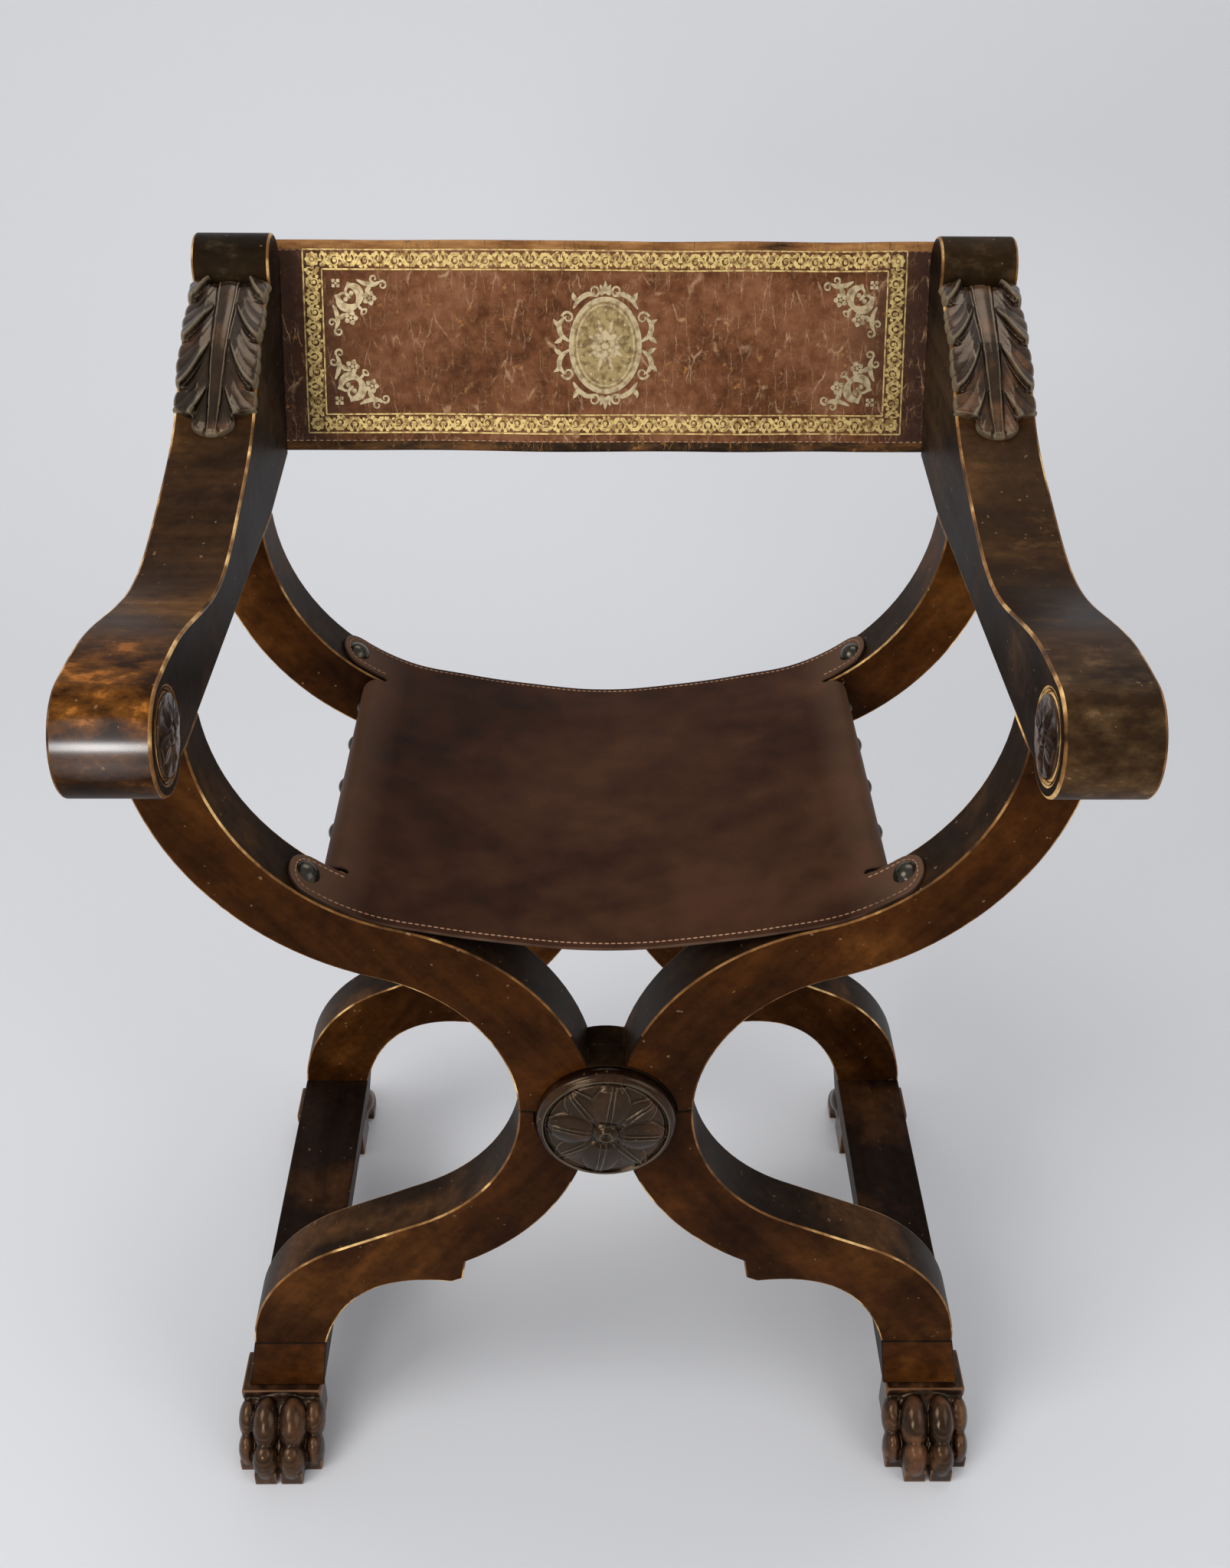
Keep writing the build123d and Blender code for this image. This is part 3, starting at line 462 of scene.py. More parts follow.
# The leaves' lighter ridges: wear, and partly a painted highlight in this pale greyish relief colour.
carved_walnut = walnut("walnut_carved", NEAR_BLACK, (0.026, 0.0125, 0.007), (0.1, 0.042, 0.017), UPRIGHT,
                       clouds=26.0, gloss=0.17, nicks=0.2, shine=0.5, relief=(0.16, 0.128, 0.08))
paw_walnut = walnut("walnut_paw", (0.008, 0.004, 0.002), (0.03, 0.0125, 0.006), (0.1, 0.04, 0.017), UPRIGHT,
                    clouds=40.0, gloss=0.15, nicks=0.2, shine=0.42, relief=(0.17, 0.075, 0.034))
boss_walnut = walnut("walnut_boss", (0.004, 0.002, 0.001), (0.012, 0.0045, 0.002), (0.04, 0.015, 0.006),
                     UPRIGHT, clouds=26.0, gloss=0.1, nicks=0.2, shine=0.38, relief=(0.1, 0.08, 0.052))
dowel_wood = walnut("beech_dowel", (0.2, 0.12, 0.06), (0.3, 0.19, 0.1), (0.4, 0.27, 0.15), UPRIGHT)
print("woods:", sorted(m.name for m in bpy.data.materials if m.name.startswith("walnut")))


# %% Find the ridges of a carving
FULL_RIDGE = 0.35 * MM


def mark_ridges(mesh, full=FULL_RIDGE, passes=7):
    """Store how far each point stands off its smoothed surroundings: 0.5 is level, 1 a ridge, 0 a hollow."""
    count = len(mesh.vertices)
    place, normal = np.empty(count * 3), np.empty(count * 3)
    mesh.vertices.foreach_get("co", place)
    mesh.vertex_normals.foreach_get("vector", normal)
    place, normal = place.reshape(-1, 3), normal.reshape(-1, 3)
    ends = np.empty(len(mesh.edges) * 2, dtype=np.int32)
    mesh.edges.foreach_get("vertices", ends)
    first, second = ends[0::2], ends[1::2]
    valence = np.bincount(ends, minlength=count).clip(1)[:, None]
    smooth = place.copy()
    for _ in range(passes):
        total = np.zeros_like(smooth)
        for axis in range(3):
            total[:, axis] = (np.bincount(first, smooth[second, axis], count)
                              + np.bincount(second, smooth[first, axis], count))
        smooth = 0.4 * smooth + 0.6 * total / valence
    stands = ((place - smooth) * normal).sum(axis=1)
    level = np.clip(0.5 + 0.5 * stands / full, 0, 1).astype(np.float32)
    layer = mesh.attributes.new(RIDGE, "FLOAT", "POINT")
    layer.data.foreach_set("value", level)


print("what stands off by", FULL_RIDGE / MM, "mm counts as a full ridge")

# %% [markdown]
# ## Metal
# The nails are old brass gone brown, in dull and brighter patches. The bolts are dark steel.

# %% Old brass and dark steel
def old_metal(name, dull, bright, rough):
    """Tarnished metal with a faint hammered surface."""
    material, tree, surface = new_tree(name)
    plain = object_place(tree)
    tarnish = add(tree, "TexNoise", {"Vector": plain, "Scale": 160.0, "Detail": 4.0})
    colour = ramp(tree, tarnish.outputs["Fac"], [(0.35, dull), (0.7, bright)])
    tree.links.new(colour, surface.inputs["Base Color"])
    tree.links.new(ramp(tree, tarnish.outputs["Fac"], [(0.3, grey(rough)), (0.7, grey(rough + 0.1))]),
                   surface.inputs["Roughness"])
    surface.inputs["Metallic"].default_value = 0.85
    hammer = add(tree, "TexNoise", {"Vector": plain, "Scale": 420.0, "Detail": 1.0})
    bump = add(tree, "Bump", {"Height": hammer.outputs["Fac"], "Strength": 0.05, "Distance": 0.0003})
    tree.links.new(bump.outputs["Normal"], surface.inputs["Normal"])
    return material


nail_brass = old_metal("old_brass", (0.045, 0.04, 0.03), (0.075, 0.064, 0.046), 0.17)
bolt_steel = old_metal("dark_steel", (0.06, 0.055, 0.05), (0.22, 0.2, 0.18), 0.38)
print("metals:", nail_brass.name, bolt_steel.name)

# %% [markdown]
# ## Wooden pieces
# The solid model's sharp corners catch no light. Each wooden piece is copied, its triangles are merged into
# whole faces, and a bevel rounds every corner. The bevel's own faces take the worn material, except in the
# joints, where nothing rubs. The flat sides and the sawn curves are told apart by the direction they face.

# %% Round the corners of a solid piece
BEVEL_STEPS = 3
SHARP = radians(32)
FLAT_LIMIT = radians(0.4)
FOOT_JOINT_Z = 106.5 * MM
PIVOT_Z = 342 * MM


def in_a_joint(corner):
    """Corners where two pieces meet never get rubbed: the lap, its level shoulders and the foot."""
    centre = corner.center
    above_pivot = abs(centre.z - PIVOT_Z)
    at_lap = above_pivot < 100 * MM and abs(centre.x) < 24 * MM or hypot(centre.x, above_pivot) < 56 * MM
    at_shoulder = above_pivot < 45 * MM and abs(centre.x) < 90 * MM and abs(corner.normal.x) < 0.1
    at_waist = above_pivot < 12 * MM and abs(centre.x) < 70 * MM and abs(corner.normal.y) < 0.1
    return at_lap or at_shoulder or at_waist or centre.z < FOOT_JOINT_Z


def rounded_copy(node, looks, flat_axis, width=1.2 * MM):
    """Copy of a solid piece with worn corners; looks is (flat sides, sawn curves, corners, ends)."""
    source = frame["nodes"][node]
    mesh = source.data.copy()
    mesh.materials.clear()
    work = bmesh.new()
    work.from_mesh(mesh)
    bmesh.ops.remove_doubles(work, verts=work.verts, dist=0.01 * MM)
    bmesh.ops.dissolve_limit(work, angle_limit=FLAT_LIMIT, verts=work.verts, edges=work.edges)
    for face in work.faces:
        face.smooth = True
        face.material_index = 0 if abs(face.normal[flat_axis]) > 0.9 else 1
        if len(looks) > 3 and abs(face.normal.y) > 0.9:
            face.material_index = 3
    work.to_mesh(mesh)
    work.free()
    for material in looks:
        mesh.materials.append(material)
    piece = new_object(node + "_wood", mesh)
    bevel = piece.modifiers.new("corners", "BEVEL")
    bevel.width, bevel.segments, bevel.limit_method, bevel.angle_limit = width, BEVEL_STEPS, "ANGLE", SHARP
    bevel.use_clamp_overlap = False
    bevel.material = 2
    weighted = piece.modifiers.new("shading", "WEIGHTED_NORMAL")
    weighted.weight = 80
    applied(piece)
    for polygon in piece.data.polygons:
        if polygon.material_index == 2 and in_a_joint(polygon):
            polygon.material_index = 1
    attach(piece, body_of[node])
    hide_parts(node)


print("corners sharper than", round(SHARP * 180 / pi), "degrees are rounded in", BEVEL_STEPS, "steps")

# %% Copy the wooden pieces
behaviour = frame["record"]["behaviour"]
body_of = {node: body for body, nodes in behaviour["bodies"].items() for node in nodes}
X_AXIS, Y_AXIS = 0, 1

for node in ("front_member_a", "rear_member_a"):
    rounded_copy(node, (front_walnut_a, sawn_walnut, worn_walnut), Y_AXIS)
for node in ("front_member_b", "rear_member_b"):
    rounded_copy(node, (front_walnut_b, sawn_walnut, worn_walnut), Y_AXIS)
for node in ("arm_left", "arm_right"):
    rounded_copy(node, (side_walnut, arm_walnut, worn_walnut), X_AXIS, 1.7 * MM)
for node in ("runner_left", "runner_right", "seat_rail_left", "seat_rail_right"):
    rounded_copy(node, (runner_walnut, runner_walnut, worn_walnut, foot_end_walnut), X_AXIS, 1.1 * MM)

# %% [markdown]
# ## Leather
# Thick harness leather has soft clouds of colour, a fine pebble grain and small creases. The seat is brown,
# and paler on the tabs, where it is rubbed. The back is redder and its finish has cracked, so lighter lines
# run through it. Cracks come from the borders of Voronoi cells that are drawn out upright and broken up with
# noise.

# %% Seat leather
TAB_BROWN = (0.17, 0.095, 0.057)


def seat_hide(name, dark, middle, light, worn_from=None):
    """Brown harness leather; past worn_from, counted from the middle, it is rubbed lighter."""
    material, tree, surface = new_tree(name)
    plain = object_place(tree)
    wide = object_place(tree, stretch=(1.4, 1, 1))
    cloud = add(tree, "TexNoise", {"Vector": wide, "Scale": 7.0, "Detail": 3.0, "Roughness": 0.5,
                                   "Distortion": 0.6})
    mottle = add(tree, "TexNoise", {"Vector": plain, "Scale": 45.0, "Detail": 4.0})
    mixed = plus(tree, times(tree, cloud.outputs["Fac"], 0.74), times(tree, mottle.outputs["Fac"], 0.26))
    colour = ramp(tree, mixed, [(0.38, dark), (0.5, middle), (0.63, light)])
    if worn_from:
        near_end = faded(tree, from_middle(tree, plain), worn_from, worn_from + 0.04, 0.0, 0.55)
        colour = blend_colour(tree, near_end, colour, TAB_BROWN)
    tree.links.new(colour, surface.inputs["Base Color"])
    tree.links.new(ramp(tree, mottle.outputs["Fac"], [(0.3, grey(0.44)), (0.7, grey(0.58))]),
                   surface.inputs["Roughness"])
    surface.inputs["Specular IOR Level"].default_value = 0.05
    surface.inputs["Specular Tint"].default_value = WARM_SHEEN
    pebble = add(tree, "TexVoronoi", {"Vector": plain, "Scale": 900.0}, feature="SMOOTH_F1")
    crease = add(tree, "TexNoise", {"Vector": plain, "Scale": 130.0, "Detail": 6.0, "Distortion": 1.2})
    height = plus(tree, times(tree, pebble.outputs["Distance"], 0.35),
                  times(tree, crease.outputs["Fac"], 0.5))
    bump = add(tree, "Bump", {"Height": height, "Strength": 0.3, "Distance": 0.0006})
    tree.links.new(bump.outputs["Normal"], surface.inputs["Normal"])
    return material


seat_leather = seat_hide("seat_leather", (0.012, 0.005, 0.003), (0.034, 0.0128, 0.0066),
                         (0.064, 0.026, 0.0132), worn_from=0.15)
hem_leather = seat_hide("hem_leather", (0.016, 0.009, 0.006), (0.06, 0.031, 0.02), (0.13, 0.075, 0.048))
print("leathers of the seat:", seat_leather.name, hem_leather.name)


# %% Back leather
def cracked_hide(name, dark, middle, light, crack, cell=70.0, stretch=(1, 1, 1), sides=None):
    """Old dyed leather. cell sets how close the cracks lie, stretch draws its clouds out, and sides is the
    colour that it takes towards both ends of the band."""
    material, tree, surface = new_tree(name)
    plain = object_place(tree)
    drawn_out = object_place(tree, stretch=stretch)
    cloud = add(tree, "TexNoise", {"Vector": drawn_out, "Scale": 13.0, "Detail": 5.0, "Distortion": 0.3})
    mottle = add(tree, "TexNoise", {"Vector": drawn_out, "Scale": 90.0, "Detail": 8.0, "Roughness": 0.7})
    mixed = plus(tree, times(tree, cloud.outputs["Fac"], 0.45), times(tree, mottle.outputs["Fac"], 0.55))
    colour = ramp(tree, mixed, [(0.4, dark), (0.5, middle), (0.61, light)])
    if sides:
        ragged = plus(tree, from_middle(tree, plain), times(tree, cloud.outputs["Fac"], 0.07))
        near_end = faded(tree, ragged, 0.228, 0.268, 0.0, 0.85)
        colour = blend_colour(tree, near_end, colour, sides)
    wobble = add(tree, "TexNoise", {"Vector": plain, "Scale": 90.0, "Detail": 5.0})
    bent = add(tree, "VectorMath", {0: wobble.outputs["Color"], 1: (0.007, 0.007, 0.007), 2: plain},
               operation="MULTIPLY_ADD")
    cracks = None
    for tall, density, share in ((0.17, 1.5 * cell, 1.0), (1.6, cell, 0.25), (0.4, 3 * cell, 0.4)):
        drawn = add(tree, "Mapping", {"Vector": bent.outputs[0], "Scale": (1, tall, tall)})
        cells = add(tree, "TexVoronoi", {"Vector": drawn.outputs[0], "Scale": density},
                    feature="DISTANCE_TO_EDGE")
        lines = ramp(tree, cells.outputs["Distance"], [(0.0, grey(share)), (0.036, grey(0))])
        cracks = lines if cracks is None else plus(tree, cracks, lines)
    where = add(tree, "TexNoise", {"Vector": plain, "Scale": 85.0, "Detail": 5.0, "Roughness": 0.6})
    broken = ramp(tree, where.outputs["Fac"], [(0.45, grey(0)), (0.62, grey(0.75))])
    cracks = times(tree, cracks, broken)
    colour = blend_colour(tree, cracks, colour, crack)
    chips = add(tree, "TexNoise", {"Vector": plain, "Scale": 190.0, "Detail": 4.0})
    chip_spots = ramp(tree, chips.outputs["Fac"], [(0.63, grey(0)), (0.69, grey(0.9))])
    colour = blend_colour(tree, times(tree, chip_spots, broken), colour, (0.5, 0.22, 0.06))
    tree.links.new(colour, surface.inputs["Base Color"])
    tree.links.new(ramp(tree, mottle.outputs["Fac"], [(0.3, grey(0.32)), (0.7, grey(0.5))]),
                   surface.inputs["Roughness"])
    surface.inputs["Specular IOR Level"].default_value = 0.16
    surface.inputs["Specular Tint"].default_value = WARM_SHEEN
    wrinkle = add(tree, "TexNoise", {"Vector": plain, "Scale": 70.0, "Detail": 7.0, "Distortion": 0.8})
    height = plus(tree, wrinkle.outputs["Fac"], times(tree, cracks, -0.6))
    bump = add(tree, "Bump", {"Height": height, "Strength": 0.6, "Distance": 0.0013})
    tree.links.new(bump.outputs["Normal"], surface.inputs["Normal"])
    return material


ALONG_THE_HEM = (5, 1, 1)
back_leather = cracked_hide("back_leather", (0.08, 0.027, 0.0105), (0.158, 0.056, 0.023), (0.24, 0.1, 0.047),
                            (0.55, 0.33, 0.18), sides=(0.045, 0.024, 0.019))
upper_hem = cracked_hide("back_hem_upper", (0.03, 0.014, 0.007), (0.24, 0.1, 0.032), (0.46, 0.23, 0.08),
                         (0.04, 0.02, 0.01), cell=160.0, stretch=ALONG_THE_HEM)
lower_hem = cracked_hide("back_hem_lower", (0.01, 0.006, 0.004), (0.035, 0.018, 0.01), (0.2, 0.085, 0.028),
                         (0.4, 0.19, 0.06), cell=160.0, stretch=ALONG_THE_HEM)
print("leathers of the back:", back_leather.name, upper_hem.name, lower_hem.name)

# %% Gold leaf and thread
def foil(name, dull, bright):
    """Gold leaf with worn, dull patches."""
    material, tree, surface = new_tree(name)
    plain = object_place(tree)
    worn = add(tree, "TexNoise", {"Vector": plain, "Scale": 240.0, "Detail": 4.0})
    colour = ramp(tree, worn.outputs["Fac"], [(0.36, dull), (0.56, bright)])
    tree.links.new(colour, surface.inputs["Base Color"])
    surface.inputs["Metallic"].default_value = 0.55
    surface.inputs["Roughness"].default_value = 0.42
    bump = add(tree, "Bump", {"Height": worn.outputs["Fac"], "Strength": 0.25, "Distance": 0.0003})
    tree.links.new(bump.outputs["Normal"], surface.inputs["Normal"])
    return material


gold_leaf = foil("gold_leaf", (0.34, 0.2, 0.06), (0.85, 0.62, 0.23))
pale_gold = foil("pale_gold", (0.34, 0.24, 0.12), (0.62, 0.49, 0.28))
dull_gold = foil("dull_gold", (0.2, 0.125, 0.045), (0.42, 0.3, 0.125))
thread = seat_hide("waxed_thread", (0.2, 0.1, 0.055), (0.36, 0.2, 0.12), (0.5, 0.31, 0.19))
print("gold and thread:", gold_leaf.name, pale_gold.name, dull_gold.name, thread.name)

# %% [markdown]
# ## The seat
# The seat is one cut of leather: a wide band that hangs between the rails, wraps over them and is nailed to
# their outer sides, with a round tab at each corner that is nailed to the frames. It is laid out flat first,
# as a saddler would cut it. The flat pattern is filled with points, and each point is then moved to its place
# on the hanging curve, on a frame or round a rail. Solidify gives it its thickness.

# %% The seat's section
MEMBER_T = 40 * MM
DEPTH = 320 * MM
BOWL = Vector((95 * MM, 650 * MM))
BOWL_R = 150 * MM
GAP = 0.3 * MM
SEAT_THICK = 2.5 * MM
JOIN_X = 150 * MM
SAG_Z = 487 * MM
RAIL_X = 180 * MM
CORNER_R = 8 * MM
WRAP_Z = 489 * MM
TAB_X = 198 * MM
HEM = 1 * MM
TAB_HEM = 3 * MM


def hanging_line():
    """Points of the hanging leather from the middle to the frames' shoulders, in x and z."""
    z_end = BOWL.y - sqrt((BOWL_R - GAP) ** 2 - (JOIN_X - BOWL.x) ** 2)
    rise = z_end - SAG_Z
    knots = [(0, SAG_Z), (0.4 * JOIN_X, SAG_Z + 0.22 * rise), (0.73 * JOIN_X, SAG_Z + 0.58 * rise),
             (JOIN_X, z_end)]
    slope = (JOIN_X - BOWL.x) / (BOWL.y - z_end)
    slopes = [0, (knots[2][1] - knots[0][1]) / (knots[2][0] - knots[0][0]),
              (knots[3][1] - knots[1][1]) / (knots[3][0] - knots[1][0]), slope]
    line = []
    for i in range(3):
        (x0, z0), (x1, z1) = knots[i], knots[i + 1]
        for k in range(20):
            t = k / 20
            w = x1 - x0
            z = ((2 * t ** 3 - 3 * t ** 2 + 1) * z0 + (t ** 3 - 2 * t ** 2 + t) * w * slopes[i]
                 + (3 * t ** 2 - 2 * t ** 3) * z1 + (t ** 3 - t ** 2) * w * slopes[i + 1])
            line.append(Vector((x0 + t * w, z)))
    return line + [Vector(knots[3])]


middle_part = hanging_line()
print("the leather hangs", round((middle_part[-1].y - SAG_Z) / MM), "mm deep between the frames")


# %% Round the rails and over the frames
def arc_points(centre, r, start, end, steps):
    """Points of an arc after its first one; angles in radians."""
    angles = steps_between(start, end, steps)[1:]
    return [Vector((centre.x + r * cos(a), centre.y + r * sin(a))) for a in angles]


corner_x = RAIL_X - CORNER_R
corner = Vector((corner_x, BOWL.y - sqrt((BOWL_R + CORNER_R) ** 2 - (corner_x - BOWL.x) ** 2)))
to_bowl = atan2(BOWL.y - corner.y, BOWL.x - corner.x)
join_angle = atan2(-sqrt((BOWL_R - GAP) ** 2 - (JOIN_X - BOWL.x) ** 2), JOIN_X - BOWL.x)
rail_path = list(middle_part)
rail_path += arc_points(BOWL, BOWL_R - GAP, join_angle, to_bowl - pi, 8)
rail_path += arc_points(corner, CORNER_R + GAP, to_bowl, 0, 12)
rail_path += [Vector((RAIL_X + GAP, corner.y + (WRAP_Z - corner.y) * k / 4)) for k in range(1, 5)]
tab_angle = atan2(-sqrt((BOWL_R - GAP) ** 2 - (TAB_X - BOWL.x) ** 2), TAB_X - BOWL.x)
tab_path = middle_part + arc_points(BOWL, BOWL_R - GAP, join_angle, tab_angle, 12)
rail_marks, tab_marks, join_mark = lengths(rail_path), lengths(tab_path), lengths(middle_part)[-1]
WRAP_S, TAB_S = rail_marks[-1], tab_marks[-1]
print("half width of the cut: at the rails", round(WRAP_S / MM), "mm, at the tabs", round(TAB_S / MM), "mm")

# %% Fill a flat pattern with points and triangles
def inside(x, y, rim):
    """Whether a point lies inside a closed line, by counting the sides to its right."""
    hit = False
    for a, b in zip(rim, rim[1:] + rim[:1]):
        if (a.y > y) != (b.y > y) and x < a.x + (y - a.y) * (b.x - a.x) / (b.y - a.y):
            hit = not hit
    return hit


def filled_pattern(outline, rows, columns):
    """Triangles inside an outline; rows and columns are the places of the inner points."""
    n = len(outline)
    rim = [Vector(p) for p in outline]
    inner = []
    for x in columns:
        for y in rows:
            near = min((Vector((x, y)) - p).length for p in rim)
            if near > 1.2 * MM and inside(x, y, rim):
                inner.append(Vector((x, y)))
    points, _, faces, *_ = geometry.delaunay_2d_cdt(
        rim + inner, [(i, (i + 1) % n) for i in range(n)], [], 1, 1e-7)
    return points, faces


def spaced(points, step):
    """The same closed outline with points no further apart than a step."""
    result = []
    for a, b in zip(points, points[1:] + points[:1]):
        a, b = Vector(a), Vector(b)
        count = max(1, ceil((b - a).length / step))
        result += [a.lerp(b, k / count) for k in range(count)]
    return result


print("a square with one point in it gives",
      len(filled_pattern([(0, 0), (1, 0), (1, 1), (0, 1)], [0.5], [0.5])[1]), "triangles")

# %% Cut the seat
TAB_ROUND = 16 * MM
SLIT_END = join_mark + 17 * MM


def arc(centre, r, start, end, steps=7):
    """Points of an arc between two angles in degrees."""
    return [on_ellipse(centre, r, r, angle) for angle in steps_between(start, end, steps)]


def right_front_outline():
    """Outline of a quarter of the cut, from the middle of the front edge to the middle of the right side."""
    low, high = HEM, MEMBER_T - TAB_HEM
    line = [(0, low)]
    line += arc((TAB_S - TAB_ROUND, low + TAB_ROUND), TAB_ROUND, -90, 0)
    line += arc((TAB_S - TAB_ROUND, high - TAB_ROUND), TAB_ROUND, 0, 90)
    line += arc((SLIT_END + TAB_HEM, MEMBER_T), TAB_HEM, -90, -270, 6)
    line += [(WRAP_S, MEMBER_T + TAB_HEM), (WRAP_S, DEPTH / 2)]
    return line


front_right = right_front_outline()
right = front_right + [(x, DEPTH - y) for x, y in reversed(front_right[:-1])]
outline = right + [(-x, y) for x, y in reversed(right[1:-1])]
outline = spaced(outline, 3 * MM)
fine = [join_mark + k * 1.6 * MM for k in range(int((WRAP_S - join_mark) / (1.6 * MM)))]
columns = [k * 5 * MM for k in range(int(join_mark / (5 * MM)))] + fine
columns = sorted({-c for c in columns} | set(columns))
rows = [k * 5 * MM for k in range(1, int(DEPTH / (5 * MM)))]
points, faces = filled_pattern(outline, rows, columns)
flat_area = sum(abs((points[f[1]] - points[f[0]]).cross(points[f[2]] - points[f[0]])) / 2 for f in faces)
print("cut seat:", len(points), "points, area", round(flat_area, 4), "square metres")


# %% Hang the seat
def seat_place(s, y):
    """Where a point of the cut lies: across the chair, in depth and in height."""
    on_frame = y < MEMBER_T + 0.5 * MM or y > DEPTH - MEMBER_T - 0.5 * MM
    p = along(tab_path, tab_marks, abs(s)) if on_frame else along(rail_path, rail_marks, abs(s))
    x, z = p.x, p.y
    free = max(0.0, 1 - (abs(s) / join_mark) ** 4) if abs(s) < join_mark else 0.0
    between = max(0.0, sin(pi * min(max((y - MEMBER_T) / (DEPTH - 2 * MEMBER_T), 0), 1)))
    z -= 2.5 * MM * free * between
    z += 0.5 * MM * free * noise.noise(Vector((x * 22, y * 22, 3.7)))
    return Vector((x if s >= 0 else -x, FRONT_Y + y, z))


seat_mesh = bpy.data.meshes.new("seat_leather_sheet")
seat_mesh.from_pydata([seat_place(p.x, p.y) for p in points], [], [tuple(f) for f in faces])
outward_and_smooth(seat_mesh)
if sum(polygon.normal.z for polygon in seat_mesh.polygons) < 0:
    seat_mesh.flip_normals()
for material in (seat_leather, hem_leather):
    seat_mesh.materials.append(material)
seat = new_object("seat_sheet", seat_mesh)
solid = seat.modifiers.new("thickness", "SOLIDIFY")
solid.thickness, solid.offset = SEAT_THICK, 1.0
solid.material_offset_rim = 1
rim_bevel = seat.modifiers.new("rubbed_edge", "BEVEL")
rim_bevel.width, rim_bevel.segments = 0.7 * MM, 2
rim_bevel.limit_method, rim_bevel.angle_limit = "ANGLE", radians(50)
applied(seat)
print("seat:", len(seat.data.polygons), "faces")


def bends_with_seat(piece):
    """Bakes its placing into its mesh, where it stays; it does not bend with the frames."""
    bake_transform(piece)


bends_with_seat(seat)
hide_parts("leather_seat")

# %% [markdown]
# ## Stitches
# A row of waxed thread runs just inside the edge of the seat, round its tabs and along the back. Each stitch
# is the same short, fat cord end, so Geometry Nodes place copies of one small mesh along a curve. The tree
# has the stitch's length, thickness, spacing and material as inputs and turns the copies into real mesh at
# its end.

# %% Build and use geometry trees
def geometry_tree(name, inputs, output):
    """An empty tree with named inputs, each (title, kind, value), and one geometry output."""
    tree = bpy.data.node_groups.new(name, "GeometryNodeTree")
    for title, kind, value in inputs:
        socket = tree.interface.new_socket(title, in_out="INPUT", socket_type="NodeSocket" + kind)
        if value is not None:
            socket.default_value = value
    tree.interface.new_socket(output, in_out="OUTPUT", socket_type="NodeSocketGeometry")
    return tree


def tree_node(tree, kind, **settings):
    """A node of a geometry tree with its settings."""
    made = tree.nodes.new(kind)
    for key, value in settings.items():
        setattr(made, key, value)
    return made


def join_nodes(tree, *joints):
    """Links, each (node, output, node, input)."""
    for source, output, target, socket in joints:
        tree.links.new(source.outputs[output], target.inputs[socket])


def grown(piece, tree, values):
    """The piece with a geometry tree run on it; values are by the titles of the tree's inputs."""
    modifier = piece.modifiers.new(tree.name, "NODES")
    modifier.node_group = tree
    for item in tree.interface.items_tree:
        if item.in_out == "INPUT" and item.name in values:
            modifier[item.identifier] = values[item.name]
    return applied(piece)


print("geometry trees so far:", len(bpy.data.node_groups))

# %% A node tree that lays stitches on a curve
STITCH_SPACING, STITCH_LENGTH, STITCH_THICK = 5 * MM, 3.6 * MM, 1.0 * MM


def stitch_tree():
    """Resamples a line and sets a stretched ball on each point, turned with the line."""
    inputs = (("Path", "Geometry", None), ("Spacing", "Float", STITCH_SPACING),
              ("Length", "Float", STITCH_LENGTH), ("Thickness", "Float", STITCH_THICK),
              ("Thread", "Material", None))
    tree = geometry_tree("stitches", inputs, "Stitches")
    start, end = tree_node(tree, "NodeGroupInput"), tree_node(tree, "NodeGroupOutput")
    to_curve = tree_node(tree, "GeometryNodeMeshToCurve")
    spread = tree_node(tree, "GeometryNodeResampleCurve", mode="LENGTH")
    ball = tree_node(tree, "GeometryNodeMeshUVSphere")
    for title, value in (("Segments", 8), ("Rings", 5), ("Radius", 0.5)):
        ball.inputs[title].default_value = value
    smooth = tree_node(tree, "GeometryNodeSetShadeSmooth")
    size = tree_node(tree, "ShaderNodeCombineXYZ")
    tangent = tree_node(tree, "GeometryNodeInputTangent")
    lie = tree_node(tree, "FunctionNodeAlignRotationToVector", axis="X")
    copies = tree_node(tree, "GeometryNodeInstanceOnPoints")
    real = tree_node(tree, "GeometryNodeRealizeInstances")
    paint = tree_node(tree, "GeometryNodeSetMaterial")
    join_nodes(tree,
               (start, "Path", to_curve, "Mesh"), (to_curve, "Curve", spread, "Curve"),
               (start, "Spacing", spread, "Length"), (spread, "Curve", copies, "Points"),
               (ball, "Mesh", smooth, "Geometry"), (smooth, "Geometry", copies, "Instance"),
               (tangent, "Tangent", lie, "Vector"), (lie, "Rotation", copies, "Rotation"),
               (start, "Length", size, "X"), (start, "Thickness", size, "Y"), (start, "Thickness", size, "Z"),
               (size, "Vector", copies, "Scale"), (copies, "Instances", real, "Geometry"),
               (real, "Geometry", paint, "Geometry"), (start, "Thread", paint, "Material"),
               (paint, "Geometry", end, "Stitches"))
    return tree


STITCHES = stitch_tree()


def stitched(name, lines, spacing=STITCH_SPACING, length=STITCH_LENGTH, thickness=STITCH_THICK):
    """Stitches along one or more lines of points, as one mesh."""
    mesh = bpy.data.meshes.new(name)
    vertices, edges = [], []
    for line in lines:
        edges += [(len(vertices) + k, len(vertices) + k + 1) for k in range(len(line) - 1)]
        vertices += line
    mesh.from_pydata(vertices, edges, [])
    return grown(new_object(name, mesh), STITCHES,
                 {"Spacing": spacing, "Length": length, "Thickness": thickness, "Thread": thread})


print("the stitch tree has", len(STITCHES.nodes), "nodes")


